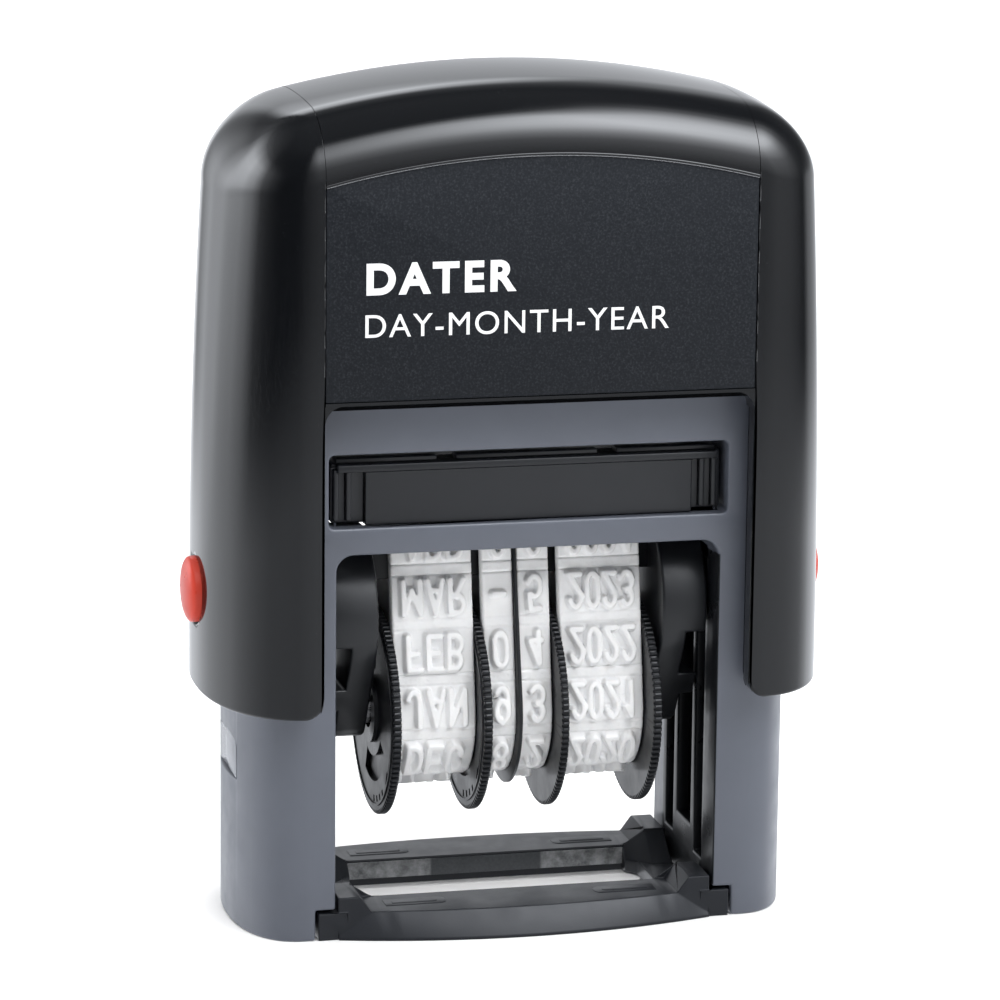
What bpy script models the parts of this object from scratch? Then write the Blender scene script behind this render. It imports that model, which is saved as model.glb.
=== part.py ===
"""Self-inking rotary date stamp, in metres. +Z is up, the front faces -Y, and z = 0 is the
surface the stamp stands on. Pressing the cap lowers the bracket, whose legs carry the trunnions
of the die carrier, and the carrier turns half a turn on its way down to the paper."""

import math

import bmesh
import bpy
from mathutils import Matrix, Vector

MM = 0.001
GAP = 0.3 * MM  # play between neighbouring pieces

# Base frame: a sleeve of two columns joined by bars
FRAME_HALF_WIDTH = 29.8 * MM
FRAME_HALF_DEPTH = 11.7 * MM
FRAME_FLAT = 23.5 * MM  # half-length of the straight front edge in plan
FRAME_TOP = 59.0 * MM
FRAME_TAPER_START = 43.0 * MM  # height where the frame starts to narrow
FRAME_TAPER = 1.3 * MM
FRAME_WALL = 1.8 * MM
WINDOW_HALF_WIDTH = 20.3 * MM
WINDOW_TOP = 40.9 * MM
WINDOW_CORNER = 1.8 * MM
SLOT_BOTTOM = 43.75 * MM  # the pad tray's tunnel
SLOT_TOP = 51.4 * MM
DECK_TOP = SLOT_TOP + FRAME_WALL
SLOT_HALF_WIDTH = 21.1 * MM
WEB = 1.5 * MM  # inner wall of a column
COLUMN_FLOOR = 4.0 * MM

# Cap
CAP_BOTTOM = 24.9 * MM
CAP_APEX = 89.6 * MM
CAP_HALF_WIDTH = 33.0 * MM
CAP_SHOULDER = 31.5 * MM  # half width where the shoulders meet the sides
CAP_HALF_DEPTH = 16.2 * MM
CAP_FLAT = 23.0 * MM
CAP_POWER = 2.3  # exponent of the plan corner
CAP_WINDOW_HALF = 22.5 * MM
CAP_WINDOW_TOP = 57.4 * MM
ROOF_RADIUS = 98.0 * MM
ROOF_CROWN = 112.0 * MM
ROOF_FRONT_START = 8.5 * MM  # distance from the middle where the roof starts to turn down
ROOF_REAR_START = 4.5 * MM
ROOF_EDGE_DROP = 5.7 * MM
COVER_THICK = 1.5 * MM

# Stroke and carrier
STROKE = 22.0 * MM
PRINT_FACE = 43.7 * MM
PIVOT_Z = (PRINT_FACE + STROKE) / 2
TRUNNION_R = 2.0 * MM
CHEEK_INNER = 15.2 * MM
CHEEK_OUTER = 20.0 * MM
CHEEK_R = 8.7 * MM
WHEEL_Z = 21.5 * MM
WHEEL_R = 11.2 * MM
AXLE_R = 1.5 * MM

# Bands: each loop runs from the print bridge down round its wheel's drum
BAND_R = 7.3 * MM
BAND_TOP_FLAT = 2.3 * MM
BAND_TOP_R = 1.5 * MM
BAND_THICK = 1.3 * MM
BLOCK_HEIGHT = 0.8 * MM
BLOCK_LENGTH = 4.3 * MM
ROW_PITCH = 5.8 * MM
ROWS = 12

# Lock buttons
BUTTON_Z = 35.2 * MM
BUTTON_R = 3.65 * MM
LATCH_Z = 39.65 * MM

SPRING_FOOT = DECK_TOP + GAP
BRACKET_HALF_DEPTH = 5.5 * MM
BRACKET_OUTER = 24.2 * MM
BRACKET_INNER = 22.4 * MM
BRACKET_BAR = 83.4 * MM  # underside of the cross bar at its middle


# ---------------------------------------------------------------- materials and objects
def material(name, colour, roughness, metallic=0.0):
    made = bpy.data.materials.new(name)
    made.use_nodes = True
    shader = made.node_tree.nodes["Principled BSDF"]
    shader.inputs["Base Color"].default_value = (*colour, 1.0)
    shader.inputs["Roughness"].default_value = roughness
    shader.inputs["Metallic"].default_value = metallic
    return made


def clear_scene():
    for obj in list(bpy.data.objects):
        bpy.data.objects.remove(obj, do_unlink=True)


def world_place(obj):
    """Where an unrotated object's origin lies, adding up its parents' places."""
    place = Vector()
    while obj:
        place += obj.location
        obj = obj.parent
    return place


def new_object(name, bm, finish=None, origin=(0, 0, 0), parent=None):
    """Turns world-space geometry into an object whose origin is at the given point."""
    bmesh.ops.remove_doubles(bm, verts=bm.verts, dist=1e-7)
    bmesh.ops.dissolve_degenerate(bm, edges=bm.edges, dist=1e-7)
    bmesh.ops.recalc_face_normals(bm, faces=bm.faces)
    bmesh.ops.translate(bm, verts=bm.verts, vec=-Vector(origin))
    mesh = bpy.data.meshes.new(name)
    bm.to_mesh(mesh)
    bm.free()
    mesh.shade_smooth()
    mesh.set_sharp_from_angle(angle=math.radians(30))
    obj = bpy.data.objects.new(name, mesh)
    bpy.context.collection.objects.link(obj)
    if finish:
        mesh.materials.append(finish)
    obj.parent = parent
    obj.location = Vector(origin) - world_place(parent)
    return obj


def axis_empty(name, place, parent=None):
    empty = bpy.data.objects.new(name, None)
    empty.empty_display_size = 0.01
    empty.parent = parent
    empty.location = Vector(place) - world_place(parent)
    bpy.context.collection.objects.link(empty)
    return empty


def combine(target, operation, bm, name):
    """Adds a Boolean whose helper is hidden; the helper is returned for further cuts."""
    helper = new_object(name, bm)
    helper.hide_render = True
    helper.display_type = "WIRE"
    modifier = target.modifiers.new(name, "BOOLEAN")
    modifier.operation = operation
    modifier.object = helper
    return helper


def cut(target, bm, name="cut"):
    return combine(target, "DIFFERENCE", bm, f"{target.name}_{name}")


def join(target, bm, name="add"):
    return combine(target, "UNION", bm, f"{target.name}_{name}")


# ---------------------------------------------------------------- shapes
def box(low, high):
    bm = bmesh.new()
    low, high = Vector(low), Vector(high)
    size = high - low
    place = Matrix.Translation((low + high) / 2) @ Matrix.Diagonal((*size, 1.0))
    bmesh.ops.create_cube(bm, size=1.0, matrix=place)
    return bm


def prism(outline, axis, low, high):
    """Extrudes a closed outline: (y, z) along X, (x, z) along Y, or (x, y) along Z."""
    bm = bmesh.new()

    def at(point, along):
        a, b = point
        return {"X": (along, a, b), "Y": (a, along, b), "Z": (a, b, along)}[axis]

    near = [bm.verts.new(at(p, low)) for p in outline]
    far = [bm.verts.new(at(p, high)) for p in outline]
    bm.faces.new(near)
    bm.faces.new(far)
    for i in range(len(outline)):
        j = (i + 1) % len(outline)
        bm.faces.new((near[i], near[j], far[j], far[i]))
    bmesh.ops.recalc_face_normals(bm, faces=bm.faces)
    return bm


def loft(rings):
    """Skins a row of outlines that have the same number of points, and caps both ends."""
    bm = bmesh.new()
    rows = [[bm.verts.new(p) for p in ring] for ring in rings]
    for near, far in zip(rows, rows[1:]):
        for i in range(len(near)):
            j = (i + 1) % len(near)
            bm.faces.new((near[i], near[j], far[j], far[i]))
    bm.faces.new(rows[0])
    bm.faces.new(rows[-1])
    bmesh.ops.recalc_face_normals(bm, faces=bm.faces)
    return bm


def arc(centre, radius, start, end, steps):
    """Points on a circle from start to end, both in degrees."""
    points = []
    for i in range(steps + 1):
        turn = math.radians(start + (end - start) * i / steps)
        points.append((centre[0] + radius * math.cos(turn), centre[1] + radius * math.sin(turn)))
    return points


def rod(axis, centre, radius, low, high, sides=24):
    """A cylinder along X, Y or Z; centre gives the other two coordinates in order."""
    return prism(arc(centre, radius, 0, 360 - 360 / sides, sides - 1), axis, low, high)


def plan_outline(half_width, half_depth, flat, power=2.25, steps=6):
    """A plan with straight front and back edges and superelliptic ends."""
    quarter = []
    for i in range(steps + 1):
        turn = math.pi / 2 * i / steps
        across = max(math.cos(turn), 0.0) ** (2 / power)
        deep = math.sin(turn) ** (2 / power)
        quarter.append((flat + (half_width - flat) * across, half_depth * deep))
    right = [(x, -y) for x, y in reversed(quarter)] + quarter[1:]
    left = [(-x, -y) for x, y in right]
    return right + left


def round_top(half_width, low, high, radius, steps=4):
    """An (x, z) outline with its two upper corners rounded."""
    right = arc((half_width - radius, high - radius), radius, 0, 90, steps)
    left = arc((radius - half_width, high - radius), radius, 90, 180, steps)
    return [(half_width, low), *right, *left, (-half_width, low)]


def roof_height(x, apex):
    return apex - x * x / (2 * ROOF_RADIUS)


def cap_form(inset_x, inset_y, inset_top, bottom, steps=8):
    """The cap's outer form, or the same form drawn in by a wall. Each ring is a slice across X."""
    half_depth = CAP_HALF_DEPTH - inset_y
    edge_z = ROOF_EDGE_DROP - 0.7 * inset_top
    rings = []
    for i in range(-steps, steps + 1):
        turn = math.pi / 2 * i / steps
        y = math.copysign(half_depth * abs(math.sin(turn)) ** (2 / CAP_POWER), turn)
        swell = max(math.cos(turn), 0.0) ** (2 / CAP_POWER)
        edge_start = ROOF_FRONT_START if y < 0 else ROOF_REAR_START
        beyond = max(abs(y) - edge_start, 0.0) / (half_depth - edge_start)
        drop = edge_z * (1 - math.sqrt(max(1 - beyond * beyond, 0.0))) + y * y / (2 * ROOF_CROWN)
        foot = CAP_FLAT + (CAP_HALF_WIDTH - inset_x - CAP_FLAT) * swell
        side_top = CAP_FLAT + (CAP_SHOULDER - inset_x - CAP_FLAT) * swell
        apex = CAP_APEX - inset_top
        right = []
        for k in range(7):
            lean = math.radians(15 * k)
            x = CAP_FLAT + (side_top - CAP_FLAT) * math.sin(lean)
            fall = 7.3 * MM * swell * (1 - math.cos(lean))
            right.append((x, roof_height(x, apex) - drop - fall))
        side_z = right[-1][1]
        for share in (0.72, 0.4, 0.0):
            z = bottom + (side_z - bottom) * share
            right.append((foot + (side_top - foot) * share**2.2, z))
        crown = []
        for k in range(-3, 4):
            x = CAP_FLAT * k / 4
            crown.append((x, roof_height(x, apex) - drop))
        outline = [(-x, z) for x, z in reversed(right)] + crown + right
        rings.append([(x, y, z) for x, z in outline])
    return loft(rings)


# ---------------------------------------------------------------- base
def frame_form(inset, low, high):
    """The frame's column shape, or the same drawn in by a wall. Its ends narrow towards the top."""
    heights = sorted({low, high} | ({FRAME_TAPER_START} if low < FRAME_TAPER_START < high else set()))
    rings = []
    for z in heights:
        risen = max(z - FRAME_TAPER_START, 0.0) / (DECK_TOP - FRAME_TAPER_START)
        taper = FRAME_TAPER * min(risen, 1.0)
        outline = plan_outline(FRAME_HALF_WIDTH - taper - inset, FRAME_HALF_DEPTH - inset,
                               FRAME_FLAT - taper - 0.55 * inset)
        rings.append([(x, y, z) for x, y in outline])
    return loft(rings)


def base_frame(finish):
    frame = new_object("base_frame", frame_form(0, 0, DECK_TOP), finish)
    through = 20 * MM

    inner_half_depth = FRAME_HALF_DEPTH - FRAME_WALL
    pocket_start = WINDOW_HALF_WIDTH + WEB
    for side, name in ((-1, "left"), (1, "right")):
        pocket = frame_form(FRAME_WALL, COLUMN_FLOOR, DECK_TOP + 1 * MM)
        helper = cut(frame, pocket, f"pocket_{name}")
        keep = sorted((side * pocket_start, side * 40 * MM))
        combine(helper, "INTERSECT", box((keep[0], -through, 0), (keep[1], through, 0.1)),
                f"pocket_half_{name}")

    window = round_top(WINDOW_HALF_WIDTH, -1 * MM, WINDOW_TOP, WINDOW_CORNER)
    cut(frame, prism(window, "Y", -through, through), "window")
    tunnel = box((-SLOT_HALF_WIDTH, -through, SLOT_BOTTOM), (SLOT_HALF_WIDTH, through, SLOT_TOP))
    cut(frame, tunnel, "tray_tunnel")
    between_bars = box((-WINDOW_HALF_WIDTH, -inner_half_depth, WINDOW_TOP - 3 * MM),
                       (WINDOW_HALF_WIDTH, inner_half_depth, SLOT_BOTTOM + 1 * MM))
    cut(frame, between_bars, "between_bars")

    web_near = WINDOW_HALF_WIDTH - 1 * MM
    web_far = pocket_start + 0.4 * MM
    slots = ((-7.0, -4.1, 5.0, 39.0), (-2.7, 2.7, 7.5, 37.0), (4.1, 7.0, 5.0, 39.0))
    recesses = (15.9 * MM, 15.9 * MM + STROKE)
    for side, name in ((-1, "left"), (1, "right")):
        near, far = sorted((side * web_near, side * web_far))
        for i, (y0, y1, z0, z1) in enumerate(slots):
            cut(frame, box((near, y0 * MM, z0 * MM), (far, y1 * MM, z1 * MM)), f"slot_{name}_{i}")
        near, far = sorted((side * (WINDOW_HALF_WIDTH - 1 * MM), side * 22.4 * MM))
        for end in (-1, 1):
            low_y, high_y = sorted((end * 7.5 * MM, end * through))
            cut(frame, box((near, low_y, -1 * MM), (far, high_y, 3.25 * MM)),
                f"ring_notch_{name}_{end}")
        near, far = sorted((side * 28.6 * MM, side * 31 * MM))
        for i, low in enumerate(recesses):
            cut(frame, box((near, -4.6 * MM, low), (far, 4.6 * MM, low + 4.5 * MM)),
                f"lock_recess_{name}_{i}")
    return frame


def frame_collar(finish):
    """The wall that stands round the deck on top of the frame, with its shoulders cut away."""
    low = DECK_TOP + 0.05 * MM
    collar = new_object("frame_collar", frame_form(0, low, FRAME_TOP), finish)
    cut(collar, frame_form(FRAME_WALL, low - 1 * MM, FRAME_TOP + 1 * MM), "well")
    slope = [(21.0 * MM, FRAME_TOP + 1 * MM), (21.0 * MM, FRAME_TOP), (30.0 * MM, 52.5 * MM),
             (32 * MM, 52.5 * MM), (32 * MM, FRAME_TOP + 1 * MM)]
    for side, name in ((-1, "left"), (1, "right")):
        outline = [(side * x, z) for x, z in slope]
        cut(collar, prism(outline, "Y", -20 * MM, 20 * MM), f"shoulder_{name}")
    return collar


def spring_post(finish):
    """The peg in the middle of the deck that holds the spring's foot."""
    post = rod("Z", (0, 0), 3.2 * MM, DECK_TOP + 0.05 * MM, 58.0 * MM)
    return new_object("spring_post", post, finish)


def foot_ring(finish):
    """Black ring at the foot: two bowed rails, low end bars, corner posts and tabs."""
    inner_edge = 6.3 * MM
    rail_end = 16.5 * MM
    rail_top = 2.85 * MM
    post_start = 17.7 * MM
    post_end = 20.0 * MM
    post_top = 4.5 * MM
    post_face = 11.7 * MM
    brow = 2.75 * MM  # top edge of the sloping front face
    lip = 0.3 * MM

    def section(x, side, top):
        bow = max(1 - (x / rail_end) ** 2, 0.0)
        crest = post_face + 1.2 * MM * bow
        toe = 14.75 * MM - 2.75 * MM * (x / post_end) ** 2
        past = max(abs(x) - rail_end, 0.0) / (post_end - rail_end)
        edge = brow + (0.42 * MM - brow) * past
        outline = [(inner_edge, 0), (inner_edge, top), (crest, top), (crest + 0.1 * MM, edge),
                   (toe, lip), (toe, 0)]
        return [(x, side * y, z) for y, z in outline]

    def rail(side):
        rings = [section(rail_end * i / 6, side, rail_top) for i in range(-6, 7)]
        for x in (post_start, post_end):
            rings.append(section(x, side, post_top))
            rings.insert(0, section(-x, side, post_top))
        return loft(rings)

    ring = new_object("foot_ring", rail(-1), finish)
    join(ring, rail(1), "rear_rail")
    for side in (-1, 1):
        low, high = sorted((side * rail_end, side * post_end))
        join(ring, box((low, -7.0 * MM, 0), (high, 7.0 * MM, 1.6 * MM)), f"end_bar_{side}")
        for end in (-1, 1):
            near, far = sorted((side * 19.0 * MM, side * 22.1 * MM))
            back, front = sorted((end * 8.0 * MM, end * 11.8 * MM))
            join(ring, box((near, back, 0), (far, front, 2.95 * MM)), f"tab_{side}_{end}")
    return ring


# ---------------------------------------------------------------- cap
def cap_shell(finish):
    shell = new_object("cap_shell", cap_form(0, 0, 0, CAP_BOTTOM), finish)
    wide = 40 * MM

    seat = COVER_THICK + GAP
    seam = CAP_WINDOW_HALF + 0.1 * MM
    seat_low = CAP_WINDOW_TOP - 0.2 * MM
    helper = cut(shell, box((-seam, -wide, seat_low), (seam, wide, 95 * MM)), "cover_seat")
    cut(helper, cap_form(seat, seat, seat, CAP_BOTTOM), "core")
    cut(shell, cap_form(2.0 * MM, 3.2 * MM, 3.4 * MM, CAP_BOTTOM - 1 * MM), "cavity")

    flare = 2.0 * MM
    foot = arc((CAP_WINDOW_HALF + flare, CAP_BOTTOM + flare), flare, 270, 180, 4)
    top = arc((CAP_WINDOW_HALF - flare, CAP_WINDOW_TOP - flare), flare, 0, 90, 4)
    half = [(CAP_WINDOW_HALF + flare, CAP_BOTTOM - 1 * MM), *foot, *top]
    window = half + [(-x, z) for x, z in reversed(half)]
    cut(shell, prism(window, "Y", -wide, wide), "window")

    for side, name in ((-1, "left"), (1, "right")):
        near, far = sorted((side * 30 * MM, side * 40 * MM))
        cut(shell, rod("X", (0, BUTTON_Z), BUTTON_R + GAP, near, far), f"button_hole_{name}")
        near, far = sorted((side * 30 * MM, side * 32.2 * MM))
        cut(shell, box((near, -3.4 * MM, BUTTON_Z), (far, 3.4 * MM, 41.8 * MM)),
            f"latch_pocket_{name}")
        boss = rod("Z", (side * 17 * MM, 0), 2.0 * MM, 84.4 * MM, 86.2 * MM, 16)
        join(shell, boss, f"boss_{name}")
    return shell


def index_cover(finish):
    """The saddle that wraps the middle of the cap: front, roof and back."""
    cover = new_object("index_cover", cap_form(0, 0, 0, CAP_BOTTOM), finish)
    half = CAP_WINDOW_HALF - 0.2 * MM
    middle = box((-half, -40 * MM, CAP_WINDOW_TOP), (half, 40 * MM, 95 * MM))
    combine(cover, "INTERSECT", middle, "index_cover_middle")
    inside = cap_form(COVER_THICK, COVER_THICK, COVER_THICK, CAP_BOTTOM)
    cut(cover, inside, "inside")
    for side, name in ((-1, "front"), (1, "rear")):
        near, far = sorted((side * 15.5 * MM, side * 17 * MM))
        cut(cover, prism(label_outline(21.9 * MM, 0.5 * MM), "Y", near, far), f"{name}_pocket")
    return cover


def label_outline(half_width, margin):
    """A straight-sided panel whose top follows the roof's arch."""
    front_top = ROOF_EDGE_DROP + CAP_HALF_DEPTH**2 / (2 * ROOF_CROWN)
    points = [(-half_width, CAP_WINDOW_TOP + margin), (half_width, CAP_WINDOW_TOP + margin)]
    steps = 10
    for i in range(steps + 1):
        x = half_width * (1 - 2 * i / steps)
        points.append((x, roof_height(x, CAP_APEX) - front_top - margin))
    return points


def labels(finish, parent):
    for side, name in ((-1, "front_label"), (1, "rear_label")):
        near, far = sorted((side * 15.8 * MM, side * 16.1 * MM))
        outline = label_outline(21.6 * MM, 0.8 * MM)
        new_object(name, prism(outline, "Y", near, far), finish, parent=parent)


def press_bracket(finish):
    """The arch under the cap's roof, with a leg down each column."""
    foot = PIVOT_Z - 4.0 * MM
    bar = BRACKET_BAR
    right = [(BRACKET_INNER, foot), (BRACKET_OUTER, foot), (BRACKET_OUTER, bar - 1.2 * MM),
             (10 * MM, bar + 1.8 * MM)]
    under = [(9.6 * MM, bar), (BRACKET_INNER, bar - 2.6 * MM)]
    outline = right + [(-x, z) for x, z in reversed(right)]
    outline += [(-x, z) for x, z in reversed(under)] + under
    depth = BRACKET_HALF_DEPTH
    bracket = new_object("press_bracket", prism(outline, "Y", -depth, depth), finish)
    for side, name in ((-1, "left"), (1, "right")):
        near, far = sorted((side * 20 * MM, side * 26 * MM))
        bearing = rod("X", (0, PIVOT_Z), TRUNNION_R + 0.2 * MM, near, far)
        cut(bracket, bearing, f"bearing_{name}")
        cut(bracket, box((near, -2.5 * MM, 42 * MM), (far, 2.5 * MM, 70 * MM)), f"relief_{name}")
    join(bracket, rod("Z", (0, 0), 3.2 * MM, bar - 2.5 * MM, bar + 0.5 * MM), "spring_stub")
    return bracket


def return_spring(finish):
    """A helical compression spring with closed, flattened end turns."""
    wire = 0.45 * MM
    radius = 4.9 * MM
    low = SPRING_FOOT + wire
    high = BRACKET_BAR - GAP - wire
    turns = 8
    per_turn = 14
    path = []
    for i in range(turns * per_turn + 1):
        t = i / (turns * per_turn)
        eased = min(max((t * turns - 1) / (turns - 2), 0.0), 1.0)
        lie = 2.2 * wire * (min(t * turns, 1.0) + max(t * turns - turns + 1, 0.0))
        z = low + lie + (high - low - 4.4 * wire) * eased
        turn = 2 * math.pi * t * turns
        path.append(Vector((radius * math.cos(turn), radius * math.sin(turn), z)))
    bm = bmesh.new()
    sides = 6
    rows = []
    for i, point in enumerate(path):
        ahead = path[min(i + 1, len(path) - 1)] - path[max(i - 1, 0)]
        out = Vector((point.x, point.y, 0)).normalized()
        up = ahead.normalized().cross(out)
        ring = []
        for k in range(sides):
            a = 2 * math.pi * k / sides
            ring.append(bm.verts.new(point + wire * (math.cos(a) * out + math.sin(a) * up)))
        rows.append(ring)
    for near, far in zip(rows, rows[1:]):
        for k in range(sides):
            n = (k + 1) % sides
            bm.faces.new((near[k], near[n], far[n], far[k]))
    bm.faces.new(rows[0])
    bm.faces.new(rows[-1])
    return new_object("return_spring", bm, finish)


def lock_button(side, finish, parent):
    """A domed button with its latch tongue, which reaches up behind the cap's wall."""
    name = "lock_button_left" if side < 0 else "lock_button_right"
    face = 33.5 * MM
    back = 31.35 * MM
    crown = 34.3 * MM
    sides = 24
    rings = []
    for x, radius in ((back, BUTTON_R), (face, BUTTON_R), (face + 0.25 * MM, 3.3 * MM),
                      (face + 0.55 * MM, 2.5 * MM), (crown, 0.9 * MM)):
        ring = arc((0, BUTTON_Z), radius, 0, 360 - 360 / sides, sides - 1)
        rings.append([(side * x, y, z) for y, z in ring])
    origin = (side * back, 0, BUTTON_Z)
    button = new_object(name, loft(rings), finish, origin, parent)
    near, far = sorted((side * back, side * 32.0 * MM))
    join(button, box((near, -3.0 * MM, BUTTON_Z), (far, 3.0 * MM, 41.4 * MM)), "tongue")
    near, far = sorted((side * 30.15 * MM, side * (back + 0.2 * MM)))
    nose = box((near, -3.0 * MM, LATCH_Z - 1.35 * MM), (far, 3.0 * MM, LATCH_Z + 1.35 * MM))
    join(button, nose, "nose")
    return button


# ---------------------------------------------------------------- pad
def pad_tray(finish, parent):
    """Slide-in tray, open below, with a lip along its top and ribs at the ends of each face."""
    low = SLOT_BOTTOM + GAP
    high = SLOT_TOP - GAP
    half = 20.6 * MM
    depth = 10.2 * MM
    tray = new_object("pad_tray", box((-half, -depth, low), (half, depth, high - 0.9 * MM)),
                      finish, parent=parent)
    cut(tray, box((-16.8 * MM, -8.2 * MM, low - 1 * MM), (16.8 * MM, 8.2 * MM, 48.2 * MM)), "well")
    for end, name in ((-1, "front"), (1, "rear")):
        near, far = sorted((end * 9.5 * MM, end * 10.9 * MM))
        join(tray, box((-17.2 * MM, near, low), (17.2 * MM, far, high - 0.9 * MM)), f"face_{name}")
        near, far = sorted((end * 8.0 * MM, end * 11.1 * MM))
        join(tray, box((-half, near, high - 1.5 * MM), (half, far, high - 0.6 * MM)),
             f"lip_{name}")
        for side in (-1, 1):
            for k in range(2):
                x = side * (18.3 + 1.3 * k) * MM
                rib = box((x - 0.3 * MM, min(end * 10 * MM, end * 10.7 * MM), low),
                          (x + 0.3 * MM, max(end * 10 * MM, end * 10.7 * MM), high - 1.2 * MM))
                join(tray, rib, f"rib_{name}_{side}_{k}")
    return tray


def ink_pad(finish, parent):
    low = SLOT_BOTTOM + GAP
    return new_object("ink_pad", box((-16.5 * MM, -7.9 * MM, low), (16.5 * MM, 7.9 * MM, 47.9 * MM)),
                      finish, parent=parent)


# ---------------------------------------------------------------- carrier, bands and wheels
def tangent_turn(low_r, top_r, top_y, rise):
    """Angle of the normal of the straight side that touches both circles, from +Y."""
    span = math.hypot(top_y, rise)
    return math.atan2(rise, top_y) - math.acos((low_r - top_r) / span)


def drop_outline(low_r, top_flat, top_r, top_z, steps=10):
    """A loop round the wheel's axis below and a narrow flat-topped bridge above, as (y, z)."""
    top_centre = top_z - top_r
    turn = math.degrees(tangent_turn(low_r, top_r, top_flat, top_centre - WHEEL_Z))
    right_top = arc((top_flat, top_centre), top_r, turn, 90, 4)
    left_top = arc((-top_flat, top_centre), top_r, 90, 180 - turn, 4)
    bottom = arc((0, WHEEL_Z), low_r, 180 - turn, 360 + turn, 2 * steps)
    return right_top + left_top + bottom


def loop_point(distance, lift):
    """A point on the band's loop: distance runs from the middle of the print face towards -Y
    and down the front, and lift is the height above the band's outer surface."""
    base_top = PRINT_FACE - BLOCK_HEIGHT
    top_centre = base_top - BAND_TOP_R
    rise = top_centre - WHEEL_Z
    turn = tangent_turn(BAND_R, BAND_TOP_R, BAND_TOP_FLAT, rise)
    corner = BAND_TOP_R * (math.pi / 2 - turn)
    side = math.sqrt(BAND_TOP_FLAT**2 + rise**2 - (BAND_R - BAND_TOP_R) ** 2)
    around = BAND_R * (math.pi + 2 * turn)
    total = 2 * (BAND_TOP_FLAT + corner + side) + around
    s = distance % total
    mirrored = s > total / 2
    if mirrored:
        s = total - s
    if s < BAND_TOP_FLAT:
        y, z = s, base_top + lift
    elif s < BAND_TOP_FLAT + corner:
        a = math.pi / 2 - (s - BAND_TOP_FLAT) / BAND_TOP_R
        y = BAND_TOP_FLAT + (BAND_TOP_R + lift) * math.cos(a)
        z = top_centre + (BAND_TOP_R + lift) * math.sin(a)
    elif s < BAND_TOP_FLAT + corner + side:
        run = s - BAND_TOP_FLAT - corner
        y = BAND_TOP_FLAT + (BAND_TOP_R + lift) * math.cos(turn) + run * math.sin(turn)
        z = top_centre + (BAND_TOP_R + lift) * math.sin(turn) - run * math.cos(turn)
    else:
        a = turn - (s - BAND_TOP_FLAT - corner - side) / BAND_R
        y = (BAND_R + lift) * math.cos(a)
        z = WHEEL_Z + (BAND_R + lift) * math.sin(a)
    return (y if mirrored else -y), z


def band(name, low_x, high_x, finish, parent, origin):
    """A rubber loop with a raised printing block for each row."""
    outline = []
    half = BLOCK_LENGTH / 2
    for row in range(-5, ROWS - 5):
        middle = row * ROW_PITCH
        outline.append(loop_point(middle - half - 0.15 * MM, 0))
        for share in (-1.0, -0.35, 0.35, 1.0):
            outline.append(loop_point(middle + share * half, BLOCK_HEIGHT))
        outline.append(loop_point(middle + half + 0.15 * MM, 0))
    loop = new_object(name, prism(outline, "X", low_x, high_x), finish, origin, parent)
    inner = drop_outline(BAND_R - BAND_THICK, BAND_TOP_FLAT, 0.3 * MM,
                         PRINT_FACE - BLOCK_HEIGHT - BAND_THICK)
    cut(loop, prism(inner, "X", low_x - 1 * MM, high_x + 1 * MM), "inside")
    return loop


def wheel(name, disc, drum, finish, parent):
    """A setting disc with the drum that drives its band, on the common axle."""
    centre = (0, WHEEL_Z)
    body = new_object(name, rod("X", centre, WHEEL_R, *disc, sides=48), finish,
                      (sum(disc) / 2, 0, WHEEL_Z), parent)
    join(body, rod("X", centre, 5.6 * MM, *drum, sides=24), "drum")
    low = min(disc[0], drum[0]) - 1 * MM
    high = max(disc[1], drum[1]) + 1 * MM
    cut(body, rod("X", centre, AXLE_R + 0.15 * MM, low, high), "bore")
    return body


def cheek(side, finish, parent, origin):
    """A teardrop end block with its trunnion, notched on the outside."""
    name = "carrier_cheek_left" if side < 0 else "carrier_cheek_right"
    foot_r = 2.8 * MM
    turn = math.degrees(math.asin((CHEEK_R - foot_r) / (PIVOT_Z - WHEEL_Z)))
    top = arc((0, PIVOT_Z), CHEEK_R, -turn, 180 + turn, 20)
    foot = arc((0, WHEEL_Z), foot_r, 180 + turn, 360 - turn, 8)
    near, far = sorted((side * CHEEK_INNER, side * CHEEK_OUTER))
    body = new_object(name, prism(top + foot, "X", near, far), finish, origin, parent)
    near, far = sorted((side * 19.5 * MM, side * 24.4 * MM))
    join(body, rod("X", (0, PIVOT_Z), TRUNNION_R, near, far), "trunnion")
    near, far = sorted((side * 14 * MM, side * 17.9 * MM))
    cut(body, rod("X", (0, WHEEL_Z), AXLE_R + 0.15 * MM, near, far), "axle_seat")
    near, far = sorted((side * 18.0 * MM, side * 21 * MM))
    cut(body, box((near, -9 * MM, 25.0 * MM), (far, 9 * MM, 30.2 * MM)), "notch")
    near, far = sorted((side * 14 * MM, side * 16.2 * MM))
    cut(body, box((near, -2.5 * MM, 35.7 * MM), (far, 2.5 * MM, 41.0 * MM)), "bridge_seat")
    return body


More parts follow.
